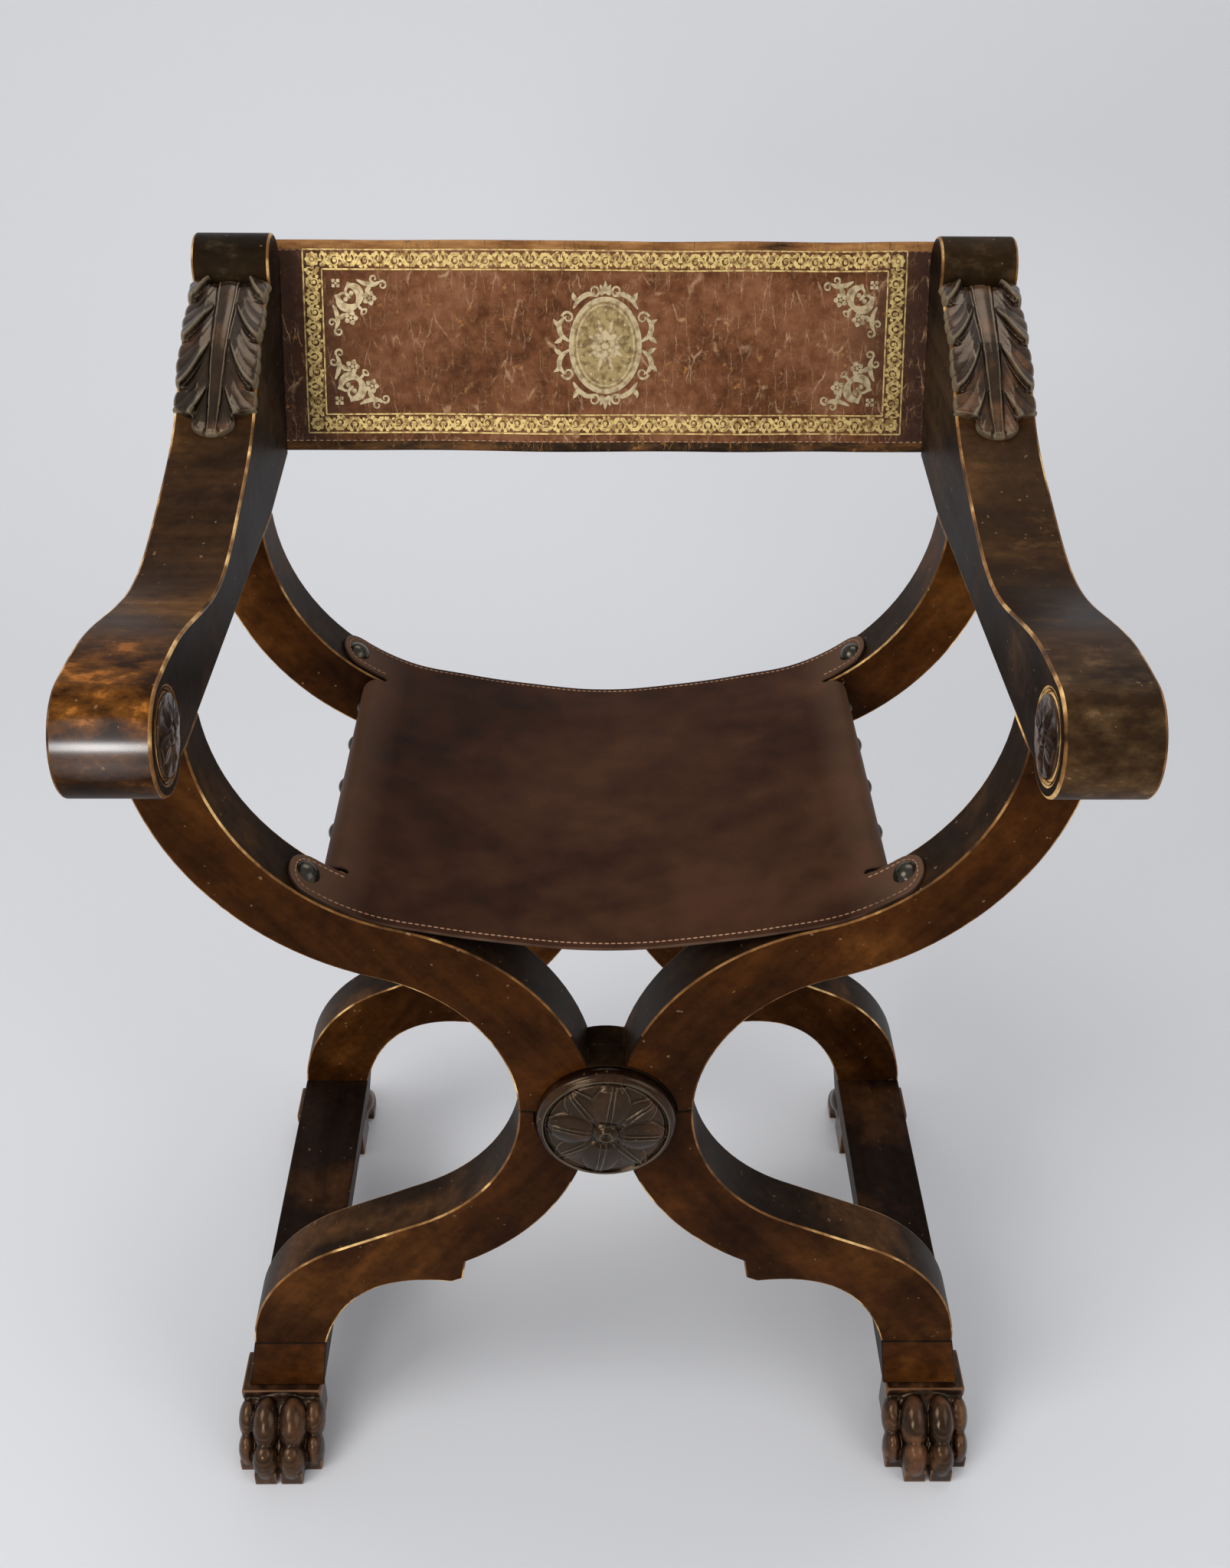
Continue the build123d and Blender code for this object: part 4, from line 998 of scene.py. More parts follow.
# %% Stitch the seat
def seat_top(s, y):
    """Point on the leather's upper side."""
    before, after = seat_place(s - 1 * MM, y), seat_place(s + 1 * MM, y)
    run = (after - before).normalized()
    return seat_place(s, y) + Vector((-run.z, 0, run.x)) * (SEAT_THICK + 0.1 * MM)


SEAT_STITCH_IN = 4.2 * MM


def seat_stitch_line(rear):
    """Stitch line along one edge of the seat and round its two tabs, from slit to slit."""
    low, high, r = HEM + SEAT_STITCH_IN, MEMBER_T - TAB_HEM - SEAT_STITCH_IN, TAB_ROUND - SEAT_STITCH_IN
    tip = TAB_S - TAB_ROUND
    side = [(SLIT_END + 4 * MM + k * 2 * MM, high) for k in range(int((tip - SLIT_END) / (2 * MM)) - 1)]
    side += arc((tip, high - r), r, 90, 0, 5) + arc((tip, low + r), r, 0, -90, 5)
    side += [(x, low) for x in steps_between(tip - 3 * MM, 0, 60)]
    whole = [(-x, y) for x, y in side] + [(x, y) for x, y in reversed(side[:-1])]
    return [seat_top(x, DEPTH - y if rear else y) for x, y in whole]


seat_stitches = stitched("seat_stitches", [seat_stitch_line(False), seat_stitch_line(True)],
                         4.0 * MM, 3.4 * MM, 0.95 * MM)
bends_with_seat(seat_stitches)
print("stitches in the seat:", len(seat_stitches.data.polygons), "faces")

# %% [markdown]
# ## The back
# The back is a flat band that passes behind both posts and is nailed there. Its upper and lower edges are
# folded over and stitched, and it has stretched into shallow waves. It is a grid of points laid on the
# slanted plane of the posts.

# %% The back's place
POST_LEAN = radians(20)
POST_FOOT = Vector((0, FRONT_Y + 402 * MM, 650 * MM))
UP_POST = Vector((0, sin(POST_LEAN), cos(POST_LEAN)))
OFF_POST = Vector((0, -cos(POST_LEAN), sin(POST_LEAN)))
BACK_START, BACK_H = 3 * MM, 155 * MM
BACK_HALF = 284.4 * MM
ARM_INSIDE = 244.4 * MM
BACK_THICK = 2.5 * MM
FOLD_H = 7 * MM


def wave(x, s):
    """How far the leather stands off its plane between the posts."""
    free = max(0.0, 1 - (abs(x) / ARM_INSIDE) ** 8)
    broad = noise.noise(Vector((x * 9, s * 14, 1.3)))
    small = noise.noise(Vector((x * 40, s * 30, 5)))
    return free * (1.3 * MM * broad + 0.5 * MM * small)


def edge_drift(x, s):
    """The upper and lower edge aren't quite straight."""
    t = (s / BACK_H) * 2 - 1
    return 1.2 * MM * t * noise.noise(Vector((x * 11, 0.4 + t, 8.1)))


def back_place(x, s, out=0.0):
    """Point on the back leather; s runs up the post and out stands off its front face."""
    s = s + edge_drift(x, s)
    return POST_FOOT + Vector((x, 0, 0)) + UP_POST * (BACK_START + s) + OFF_POST * (out + wave(x, s) - GAP)


def hem_swell(s):
    """The folded edge is thicker than the sheet."""
    near = min(s, BACK_H - s)
    return 0.0 if near > FOLD_H else 1.0 * MM * sqrt(max(0.0, 1 - ((near - FOLD_H / 2) / (FOLD_H / 2)) ** 2))


print("the back stands", round(BACK_H / MM), "mm high and leans by", round(POST_LEAN * 180 / pi), "degrees")


# %% The back's sheet
def grid_faces(rows, columns):
    """Quads of a grid whose points are listed row by row, with one more point than quads each way."""
    w = columns + 1
    return [(j * w + i, j * w + i + 1, (j + 1) * w + i + 1, (j + 1) * w + i)
            for j in range(rows) for i in range(columns)]


across = steps_between(-BACK_HALF, BACK_HALF, 150)
hem_steps = [0, 1 * MM, 2.2 * MM]
up = hem_steps + steps_between(FOLD_H, BACK_H - FOLD_H, 34) + [BACK_H - s for s in reversed(hem_steps)]
rows, columns = len(up) - 1, len(across) - 1
back_points = [back_place(x, s, hem_swell(s)) for s in up for x in across]
back_mesh = bpy.data.meshes.new("back_sheet")
back_mesh.from_pydata(back_points, [], grid_faces(rows, columns))
for material in (back_leather, upper_hem, lower_hem):
    back_mesh.materials.append(material)
for number, polygon in enumerate(back_mesh.polygons):
    row = number // columns
    polygon.use_smooth = True
    if row < len(hem_steps):
        polygon.material_index = 2
    elif row >= rows - len(hem_steps):
        polygon.material_index = 1
back = new_object("back_sheet", back_mesh)
solid = back.modifiers.new("thickness", "SOLIDIFY")
solid.thickness, solid.offset = BACK_THICK, -1.0
applied(back)
print("back:", len(back.data.polygons), "faces")

# %% Stitch the back and bake it in place
back_seams = [[back_place(x, s, 0.3 * MM) for x in steps_between(-ARM_INSIDE, ARM_INSIDE, 160)]
              for s in (FOLD_H + 0.5 * MM, BACK_H - FOLD_H - 0.5 * MM)]
back_stitches = stitched("back_stitches", back_seams, 5.2 * MM, 3.8 * MM, 0.9 * MM)


def bends_with_back(piece):
    """Bakes its placing into its mesh, like the seat."""
    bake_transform(piece)


bends_with_back(back)
bends_with_back(back_stitches)
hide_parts("leather_back")
print("stitches in the back:", len(back_stitches.data.polygons), "faces")

# %% [markdown]
# ## Gold tooling
# A bookbinder's hot tools press gold leaf into the leather. The border is one small stamp of scrollwork, set
# again and again, so a node tree repeats a drawn motif along four lines. Corner ornaments and the oval in the
# middle are drawn once. All of it is drawn flat, in the leather's own across and up, with ribbons that swell
# and taper, gets a hair of thickness and is then laid on the waves of the leather.

# %% Draw with ribbons
def new_drawing():
    """Points in millimetres, flat, and the faces between them."""
    return {"points": [], "faces": []}


def stroke(drawing, line, width, profile=None):
    """Ribbon along a line; profile gives its share of the width at each t from 0 to 1."""
    start = len(drawing["points"])
    line = [Vector(p) for p in line]
    for k, p in enumerate(line):
        run = (line[min(k + 1, len(line) - 1)] - line[max(k - 1, 0)]).normalized()
        half = 0.5 * width * (profile(k / (len(line) - 1)) if profile else 1)
        side = Vector((-run.y, run.x)) * max(half, 0.12)
        drawing["points"] += [p + side, p - side]
    drawing["faces"] += [(start + 2 * k + 1, start + 2 * k + 3, start + 2 * k + 2, start + 2 * k)
                         for k in range(len(line) - 1)]


def drawing_mesh(name, drawing):
    """The drawing in metres, flat in x and y."""
    mesh = bpy.data.meshes.new(name)
    mesh.from_pydata([(p.x * MM, p.y * MM, 0) for p in drawing["points"]], [], drawing["faces"])
    mesh.validate()
    return mesh


def swell(t):
    """Thin at both ends."""
    return 0.25 + 0.75 * sin(pi * t) ** 0.7


def taper(t):
    """Thinner and thinner."""
    return 1.0 - 0.6 * t


def leafy(t):
    """Pointed at both ends, and widest before the middle."""
    return sin(pi * t ** 0.75) ** 0.8


print("a stroke's width along its length:", [round(swell(t), 2) for t in steps_between(0, 1, 4)])


# %% Shapes for the gold tools
def curl(centre, r_start, r_end, a_start, turns, steps=26):
    """Points of a spiral; the first angle is in degrees."""
    radii = steps_between(r_start, r_end, steps)
    angles = steps_between(a_start, a_start + 360 * turns, steps)
    return [on_ellipse(centre, r, r, angle) for r, angle in zip(radii, angles)]


def leaf_shape(drawing, root, tip, width, bend=0.0, steps=7):
    """A small pointed leaf from root to tip, bent to one side."""
    root, tip = Vector(root), Vector(tip)
    side = Vector((-(tip - root).y, (tip - root).x)) * bend
    line = [root.lerp(tip, k / steps) + side * sin(pi * k / steps) for k in range(steps + 1)]
    stroke(drawing, line, width, leafy)


def dot(drawing, centre, r, sides=10):
    """A small filled circle."""
    start = len(drawing["points"])
    drawing["points"] += [Vector(on_ellipse(centre, r, r, 360 * k / sides)) for k in range(sides)]
    drawing["faces"].append(tuple(range(start, start + sides)))


def flower(drawing, centre, r, petals=5, turned=0.0):
    """Petals round a dot; turned is in degrees."""
    for k in range(petals):
        angle = turned + 360 * k / petals
        leaf_shape(drawing, on_ellipse(centre, 0.3 * r, 0.3 * r, angle), on_ellipse(centre, r, r, angle),
                   0.75 * r, steps=5)
    dot(drawing, centre, 0.24 * r, 8)


sample = new_drawing()
flower(sample, (0, 0), 5)
print("a flower is drawn with", len(sample["faces"]), "faces")

# %% The border's stamp
STAMP = 22.0
BAND_HALF = 5.6


def border_stamp():
    """One wave of scrollwork: a stem that swings up and down, with a curl in each bay."""
    drawing = new_drawing()
    stem = [(x, -4.1 * cos(2 * pi * x / STAMP)) for x in steps_between(-STAMP / 2, STAMP / 2, 28)]
    stroke(drawing, stem, 2.1, lambda t: 0.75 + 0.35 * abs(cos(2 * pi * t)))
    bay = (0.0, 0.9)
    stroke(drawing, curl(bay, 4.3, 1.8, -100, 1.15), 1.7, taper)
    dot(drawing, bay, 1.4)
    for a in (25, 65, 105, 150):
        leaf_shape(drawing, on_ellipse(bay, 3.6, 3.4, a), on_ellipse(bay, 6.6, 5.0, a - 16), 3.0, 0.15)
    for side in (-1, 1):
        half_bay = (side * STAMP / 2, -0.9)
        spiral = curl(half_bay, 4.3, 1.7, 90 + 10 * side, 1.15 * side)
        stroke(drawing, [p for p in spiral if abs(p[0]) <= STAMP / 2], 1.7, taper)
        half_dot = [(half_bay[0] - side * 1.3 * (1 - abs(t)), half_bay[1] + 1.25 * t)
                    for t in (-1, -0.5, 0, 0.5, 1)]
        stroke(drawing, half_dot, 0.9)
        for a in (-35, -70):
            leaf_shape(drawing, on_ellipse(half_bay, -side * 3.6, 3.4, a),
                       on_ellipse(half_bay, -side * 6.4, 4.8, a + 14), 3.0, 0.15 * side)
        leaf_shape(drawing, (side * 5.2, 0.4), (side * 8.4, 5.3), 3.6, -0.2 * side)
        leaf_shape(drawing, (side * 5.6, -0.6), (side * 2.4, -5.3), 3.4, -0.2 * side)
    return drawing


print("the stamp is", STAMP, "mm long and drawn with", len(border_stamp()["faces"]), "faces")


# %% A node tree that repeats the stamp
def repeat_tree():
    """Sets a motif at even steps along a path, turned with the path."""
    inputs = (("Path", "Geometry", None), ("Motif", "Object", None), ("Spacing", "Float", STAMP * MM),
              ("Gold", "Material", None))
    tree = geometry_tree("repeat", inputs, "Border")
    start, end = tree_node(tree, "NodeGroupInput"), tree_node(tree, "NodeGroupOutput")
    to_curve = tree_node(tree, "GeometryNodeMeshToCurve")
    spread = tree_node(tree, "GeometryNodeResampleCurve", mode="LENGTH")
    motif = tree_node(tree, "GeometryNodeObjectInfo")
    tangent = tree_node(tree, "GeometryNodeInputTangent")
    lie = tree_node(tree, "FunctionNodeAlignRotationToVector", axis="X")
    copies = tree_node(tree, "GeometryNodeInstanceOnPoints")
    real = tree_node(tree, "GeometryNodeRealizeInstances")
    paint = tree_node(tree, "GeometryNodeSetMaterial")
    join_nodes(tree,
               (start, "Path", to_curve, "Mesh"), (to_curve, "Curve", spread, "Curve"),
               (start, "Spacing", spread, "Length"), (spread, "Curve", copies, "Points"),
               (start, "Motif", motif, "Object"), (motif, "Geometry", copies, "Instance"),
               (tangent, "Tangent", lie, "Vector"), (lie, "Rotation", copies, "Rotation"),
               (copies, "Instances", real, "Geometry"), (real, "Geometry", paint, "Geometry"),
               (start, "Gold", paint, "Material"), (paint, "Geometry", end, "Border"))
    return tree


REPEAT = repeat_tree()


def repeated(motif, lines, spacing):
    """Flat mesh with the motif set along each straight line, given by its two ends."""
    mesh = bpy.data.meshes.new("border_paths")
    mesh.from_pydata([(*p, 0) for line in lines for p in line], [],
                     [(2 * k, 2 * k + 1) for k in range(len(lines))])
    carrier = new_object("border_paths", mesh)
    stamp = new_object("border_stamp", drawing_mesh("border_stamp", motif))
    result = grown(carrier, REPEAT, {"Motif": stamp, "Spacing": spacing, "Gold": gold_leaf}).data
    bpy.data.objects.remove(carrier)
    bpy.data.objects.remove(stamp)
    return result


print("the repeating tree has", len(REPEAT.nodes), "nodes")

# %% Lay gold on the leather
GOLD_THICK = 0.22 * MM
GOLD_LIFT = 0.1 * MM


def lay_gold(name, meshes, material, thick=GOLD_THICK):
    """Join flat meshes, give them thickness and lay them on the back."""
    work = bmesh.new()
    for mesh in meshes:
        work.from_mesh(mesh)
    bmesh.ops.remove_doubles(work, verts=work.verts, dist=0.01 * MM)
    for face in work.faces:
        if face.normal.z < 0:
            face.normal_flip()
    upper = bmesh.ops.extrude_face_region(work, geom=list(work.faces))
    for item in upper["geom"]:
        if isinstance(item, bmesh.types.BMVert):
            item.co.z += thick
    for vertex in work.verts:
        vertex.co = back_place(vertex.co.x, vertex.co.y, GOLD_LIFT + vertex.co.z)
    bmesh.ops.recalc_face_normals(work, faces=work.faces)
    mesh = bpy.data.meshes.new(name)
    work.to_mesh(mesh)
    work.free()
    mesh.materials.clear()
    mesh.materials.append(material)
    mesh.polygons.foreach_set("material_index", [0] * len(mesh.polygons))
    piece = new_object(name, mesh)
    bends_with_back(piece)
    print(name, "has", len(mesh.polygons), "faces")
    return piece


# %% The gold border
BAND_LOW, BAND_HIGH, BAND_SIDE = 20.5, 141.0, 220.5      # middle lines of the border
RULE_OUT, RULE_WIDTH = 7.0, 1.1                           # plain lines on both sides of them
STAMPS_ACROSS, STAMPS_UP = 19, 5
reach, rise = BAND_SIDE - BAND_HALF, (BAND_LOW + BAND_HALF, BAND_HIGH - BAND_HALF)
flat_step = 2 * reach / STAMPS_ACROSS
side_step = (rise[1] - rise[0]) / STAMPS_UP


def border_line(a, b, step):
    """A line that starts and ends half a step inside its two ends, in metres."""
    a, b = Vector(a), Vector(b)
    run = (b - a).normalized() * step / 2
    return [(a + run) * MM, (b - run * 0.99) * MM]


def border_rules():
    """Plain lines along both sides of the border and a flower in each of its corners."""
    drawing = new_drawing()
    for grow in (-RULE_OUT, RULE_OUT):
        x, low, high = BAND_SIDE + grow, BAND_LOW - grow, BAND_HIGH + grow
        corners = [Vector(p) for p in ((-x, low), (x, low), (x, high), (-x, high))]
        for start, end in zip(corners, corners[1:] + corners[:1]):
            stroke(drawing, [start.lerp(end, k / 60) for k in range(61)], RULE_WIDTH)
    for x in (-BAND_SIDE, BAND_SIDE):
        for y in (BAND_LOW, BAND_HIGH):
            flower(drawing, (x, y), BAND_HALF, 8)
    return drawing


flat_lines = [border_line((-reach, BAND_LOW), (reach, BAND_LOW), flat_step),
              border_line((reach, BAND_HIGH), (-reach, BAND_HIGH), flat_step)]
side_lines = [border_line((BAND_SIDE, rise[0]), (BAND_SIDE, rise[1]), side_step),
              border_line((-BAND_SIDE, rise[1]), (-BAND_SIDE, rise[0]), side_step)]
border = lay_gold("gold_border", [repeated(border_stamp(), flat_lines, flat_step * MM),
                                  repeated(border_stamp(), side_lines, side_step * MM),
                                  drawing_mesh("border_rules", border_rules())], gold_leaf)


# %% Corner ornaments
def corner_arm(drawing, turn, bend):
    """One arm of a corner's scrollwork; turn takes a point of the arm along the lower border to its place."""
    def line(points):
        return [turn(*p) for p in points]

    stroke(drawing, line(curl((21.5, 16.5), 12.5, 3.2, 175, -1.2, 34)), 4.0, taper)
    stroke(drawing, line(smooth_path([(26, 5.6), (33, 8.6), (40, 9.4), (46, 7.0)])), 4.0, swell)
    stroke(drawing, line(curl((47.5, 10.0), 3.6, 1.2, -115, 1.0, 16)), 2.2, taper)
    stroke(drawing, line(curl((40.5, 4.6), 3.4, 1.1, 95, 0.95, 16)), 2.2, taper)
    stroke(drawing, line(smooth_path([(24.5, 24.5), (29, 29.5), (33.5, 29.5), (33, 33)])), 1.7, swell)
    leaf_shape(drawing, turn(38, 11), turn(34, 18), 4.0, bend)
    flower(drawing, turn(36.5, 20.5), 6.2)
    dot(drawing, turn(21.5, 16.5), 2.0)


def corner_ornament():
    """Scrollwork that fills a corner; drawn for the lower left one, from the border's inner corner."""
    drawing = new_drawing()
    corner_arm(drawing, lambda x, y: (x, y), 0.15)
    corner_arm(drawing, lambda x, y: (y, x), -0.15)
    flower(drawing, (8.5, 8.5), 4.6, 4, 45)
    return drawing


def placed(drawing, x, y, flip_x, flip_y, size):
    """The drawing at another place, mirrored and sized."""
    moved = new_drawing()
    moved["points"] = [Vector((x + flip_x * size * p.x, y + flip_y * size * p.y)) for p in drawing["points"]]
    moved["faces"] = drawing["faces"]
    return moved


CORNER_SIZE = 0.9
inner_x, inner_low, inner_high = BAND_SIDE - 9.5, BAND_LOW + 9.5, BAND_HIGH - 9.5
one_corner = corner_ornament()
corners = [placed(one_corner, -sx * inner_x, inner_low if sy > 0 else inner_high, sx, sy, CORNER_SIZE)
           for sx in (-1, 1) for sy in (-1, 1)]
corner_gold = lay_gold("gold_corners", [drawing_mesh("corner", c) for c in corners], pale_gold)


# %% The oval's forms
OVAL = (0.0, 79.0)
OVAL_HALF_W, OVAL_HALF_H = 26.0, 34.0
FIELD_HALF_W, FIELD_HALF_H = 25.0, 33.0
FIELD_ROWS = 11


def oval_point(rx, ry, angle):
    """Point of an ellipse round the oval's middle."""
    return on_ellipse(OVAL, rx, ry, angle)


def oval_frame(drawing, at):
    """A quarter of the frame of scrolls; at takes a point of the upper right quarter to its place."""
    def line(points):
        return [at(*p) for p in points]

    stroke(drawing, line(smooth_path([(27.5, 3), (33.5, 8), (35, 15), (31, 21)])), 4.0, swell)
    stroke(drawing, line(curl((28.5, 20.5), 4.6, 1.4, 10, 1.1, 20)), 2.2, taper)
    stroke(drawing, line(smooth_path([(24.5, 27), (20, 33.5), (13, 37.5), (7, 36)])), 3.8, swell)
    stroke(drawing, line(curl((8.6, 40), 4.0, 1.3, 250, -1.05, 20)), 2.0, taper)
    leaf_shape(drawing, at(33, 6), at(39, 1.8), 3.4, 0.1)
    leaf_shape(drawing, at(33.5, 14), at(39.5, 19.5), 3.4, 0.1)
    leaf_shape(drawing, at(22, 32.5), at(24.5, 39), 3.6, 0.1)


def palmette(drawing, up):
    """Five leaves spread like a fan, above the oval (up is 1) or below it (up is -1)."""
    root = (0.0, OVAL[1] + up * (OVAL_HALF_H + 2.5))
    for k, length in ((-2, 6.5), (-1, 9.0), (0, 11.0), (1, 9.0), (2, 6.5)):
        angle = 90 + 27 * k
        tip = on_ellipse(root, length, up * length, angle)
        leaf_shape(drawing, on_ellipse(root, 1.5, up * 1.5, angle), tip, 3.4)


print("the oval is", 2 * OVAL_HALF_W, "mm wide and", 2 * OVAL_HALF_H, "mm high")


# %% The oval in the middle
def oval_ornament():
    """A plain oval with a rosette in it, held by four scrolls, with a palmette above and below."""
    drawing = new_drawing()
    around = steps_between(0, 360, 72)
    stroke(drawing, [oval_point(OVAL_HALF_W, OVAL_HALF_H, a) for a in around], 3.6)
    stroke(drawing, [oval_point(21.8, 29.8, a) for a in around], 1.2)
    flower(drawing, OVAL, 11.5, 8)
    for a in steps_between(22.5, 337.5, 7):
        leaf_shape(drawing, oval_point(7.5, 9.5, a), oval_point(14.0, 20.5, a), 2.6)
    for a in steps_between(0, 342, 19):
        dot(drawing, oval_point(18.3, 26.0, a), 0.9, 6)
    for sx in (-1, 1):
        for sy in (-1, 1):
            oval_frame(drawing, lambda x, y: (sx * x, OVAL[1] + sy * y))
    palmette(drawing, -1)
    palmette(drawing, 1)
    return drawing


def oval_field():
    """Level strokes of dull gold that fill the oval."""
    drawing = new_drawing()
    for k in range(-FIELD_ROWS, FIELD_ROWS + 1):
        height = FIELD_HALF_H * k / (FIELD_ROWS + 0.5)
        half_width = FIELD_HALF_W * sqrt(1 - (height / FIELD_HALF_H) ** 2)
        stroke(drawing, [(x, OVAL[1] + height) for x in steps_between(-half_width, half_width, 24)], 2.9)
    return drawing


oval_gold = lay_gold("gold_oval", [drawing_mesh("oval", oval_ornament())], pale_gold, 0.3 * MM)
field_gold = lay_gold("gold_field", [drawing_mesh("field", oval_field())], dull_gold)

# %% [markdown]
# ## Carved rosettes
# A turned boss hides each pivot bolt. The front one is carved with four broad petals over four narrow ones,
# inside a round moulding, with a button in the middle. The rear one is plain. Such low relief is a height
# over a disc, so one function of radius and angle draws it. The scrolls of the arms carry smaller rosettes
# of the same kind.

# %% Height of a petalled disc
def bell(x, width):
    """1 at x = 0, falling away on both sides."""
    return exp(-(x / width) ** 2)


def petal(r, angle, start, end, half_width, height, vein):
    """Height of one petal whose middle line points at angle 0, with a raised rim and paired veins."""
    if not start < r < end:
        return 0.0
    t = (r - start) / (end - start)
    reach = half_width * sin(pi * t ** 1.15) ** 0.6
    off = abs(r * sin(angle))
    if cos(angle) < 0 or off > reach + 1.5:
        return 0.0
    crown = height * max(0.0, 1 - (off / max(reach, 0.1)) ** 2) ** 0.5 if off < reach else 0.0
    rim = 0.9 * bell(off - reach, 0.7)
    veins = vein * bell(off - 2.0 * (1 - 0.4 * t), 0.6) * sin(pi * t) ** 0.5
    return (crown + veins) * min(1.0, 6 * t, 6 * (1 - t)) + rim * min(1.0, 5 * t)


def rosette_height(r, angle):
    """Height in millimetres of the big rosette; r is in its own millimetres, up to 47.5."""
    bead = 1.7 * bell(r - 42.7, 0.75)
    if r > 42.7:
        return 5.0 + sqrt(max(0.0, 25 - (r - 42.5) ** 2)) + bead
    dome = 9.4 + 5.4 * (1 - (r / 43) ** 2) - 1.4 * bell(r - 40.6, 0.9)
    quarter_turn = pi / 2
    main = min(range(4), key=lambda k: abs((angle - k * quarter_turn + pi) % (2 * pi) - pi))
    a = (angle - main * quarter_turn + pi) % (2 * pi) - pi
    b = abs(a) - quarter_turn / 2
    front = petal(r, a, 7.0, 42.0, 13.5, 3.0, 1.2)
    behind = petal(r, b, 12.0, 42.0, 10.0, 1.5, 0.9)
    leaf = max(front, behind) if front > 0.25 else behind
    button = 0.0
    if r < 9.0:
        button = 4.6 * sqrt(max(0.0, 1 - (r / 9.0) ** 2)) - 1.6 * bell(r, 2.2) + 0.7 * bell(r - 4.2, 0.9)
    return dome + bead + leaf + button


big = [rosette_height(0.5 * k, 0.0) for k in range(95)]
print("the big rosette stands", round(max(big), 1), "mm high at most")


# %% A relief on a disc
def disc_piece(name, radius, height, place, rings=64, spokes=256, drop=0.0, wood=carved_walnut):
    """A middle point, rings of points and a closed edge; place turns x, z and height into a point."""
    turns = [2 * pi * k / spokes for k in range(spokes)]
    vertices = [place(0, 0, height(0.001, 0))]
    for i in range(1, rings + 1):
        r = radius * i / rings
        vertices += [place(r * cos(a), r * sin(a), height(r, a)) for a in turns]
    vertices += [place(radius * cos(a), radius * sin(a), -drop) for a in turns]
    vertices.append(place(0, 0, -drop))
    faces = [(0, 1 + k, 1 + (k + 1) % spokes) for k in range(spokes)]
    for i in range(rings):
        a, b = 1 + i * spokes, 1 + (i + 1) * spokes
        faces += [(a + k, b + k, b + (k + 1) % spokes, a + (k + 1) % spokes) for k in range(spokes)]
    last = 1 + rings * spokes
    faces += [(last + k, len(vertices) - 1, last + (k + 1) % spokes) for k in range(spokes)]
    mesh = bpy.data.meshes.new(name)
    mesh.from_pydata(vertices, [], faces)
    outward_and_smooth(mesh)
    mark_ridges(mesh)
    moulding = 1 + int(0.92 * rings) * spokes
    for value in mesh.attributes[RIDGE].data[moulding:]:
        value.value = 0.5
    mesh.materials.append(wood)
    print(name, "has", len(mesh.polygons), "faces")
    return new_object(name, mesh)


# %% The boss on the front crossing and the cap behind
BOSS_R = 47.5
ROSETTE_TURN = radians(-8)
BACK_Y = FRONT_Y + DEPTH


def boss_place(x, z, h):
    """A point that stands off the front frame by h."""
    return Vector((x * MM, FRONT_Y - h * MM, PIVOT_Z + z * MM))


def cap_place(x, z, h):
    """A point that stands off the rear frame by h."""
    return Vector((x * MM, BACK_Y + h * MM, PIVOT_Z + z * MM))


def cap_height(r, angle):
    """A plain turned cap: a round moulding, a groove and a low dome."""
    if r > 38:
        return 10.0 * sqrt(max(0.0, 1 - ((r - 42.75) / 4.75) ** 2)) * 0.6 + (4.0 if r < 47.4 else 0)
    return 6.0 + 5.0 * (1 - (r / 38) ** 2) + 1.2 * bell(r - 30, 1.0) - 0.8 * bell(r - 36.5, 1.0)


boss = disc_piece("boss_rosette", BOSS_R, lambda r, a: rosette_height(r, a - ROSETTE_TURN), boss_place,
                  96, 360, wood=boss_walnut)
cap = disc_piece("boss_cap", BOSS_R, cap_height, cap_place, 40, 96, wood=boss_walnut)
for piece, node in ((boss, "boss_front"), (cap, "boss_rear")):
    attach(piece, "frame_a")
    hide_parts(node)

# %% Small rosettes on both sides of each scroll
SCROLL = Vector((FRONT_Y - 31 * MM, 668 * MM))
SIDE_ROSETTE_R = 24.0
ARM_OUTSIDE = 300.6 * MM


def side_rosette_height(r, angle):
    """The big rosette without its moulding, made smaller and flatter."""
    return 0.28 * (rosette_height(r * 41.0 / SIDE_ROSETTE_R, angle) - 2.5) - 0.8


def side_rosette(arm, side, face_name, x, out):
    """A rosette on one face of a scroll; out is -1 where the relief points to the sitter."""
    def place(a, b, h):
        return Vector((side * (x + out * h * MM), SCROLL.x + a * MM, SCROLL.y + b * MM))

    name = f"scroll_rosette_{arm}_{face_name}"
    piece = disc_piece(name, SIDE_ROSETTE_R, side_rosette_height, place, 28, 96, drop=1.0)
    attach(piece, body_of["arm_" + arm])


for arm, side in (("left", -1), ("right", 1)):
    side_rosette(arm, side, "inner", ARM_INSIDE, -1)
    side_rosette(arm, side, "outer", ARM_OUTSIDE, 1)

# %% [markdown]
# ## Acanthus leaves
# A long leaf lies over the front of each post. It hangs from the roll with its tip down. A raised stem runs
# down the middle, and three broad lobes on each side sweep out from it, each ribbed and each lapping over the
# next. Every rib starts along the stem and bends outwards, so the height is drawn in a coordinate that is
# bent the same way. The leaf finds the arm under it by casting rays at the solid arm.

# %% The leaf's relief
LEAF_HALF = 29.0
LEAF_LENGTH = 138.0
SWEEP = 45.0
LOBE_LENGTH = 36.0
RIBS = 3.0


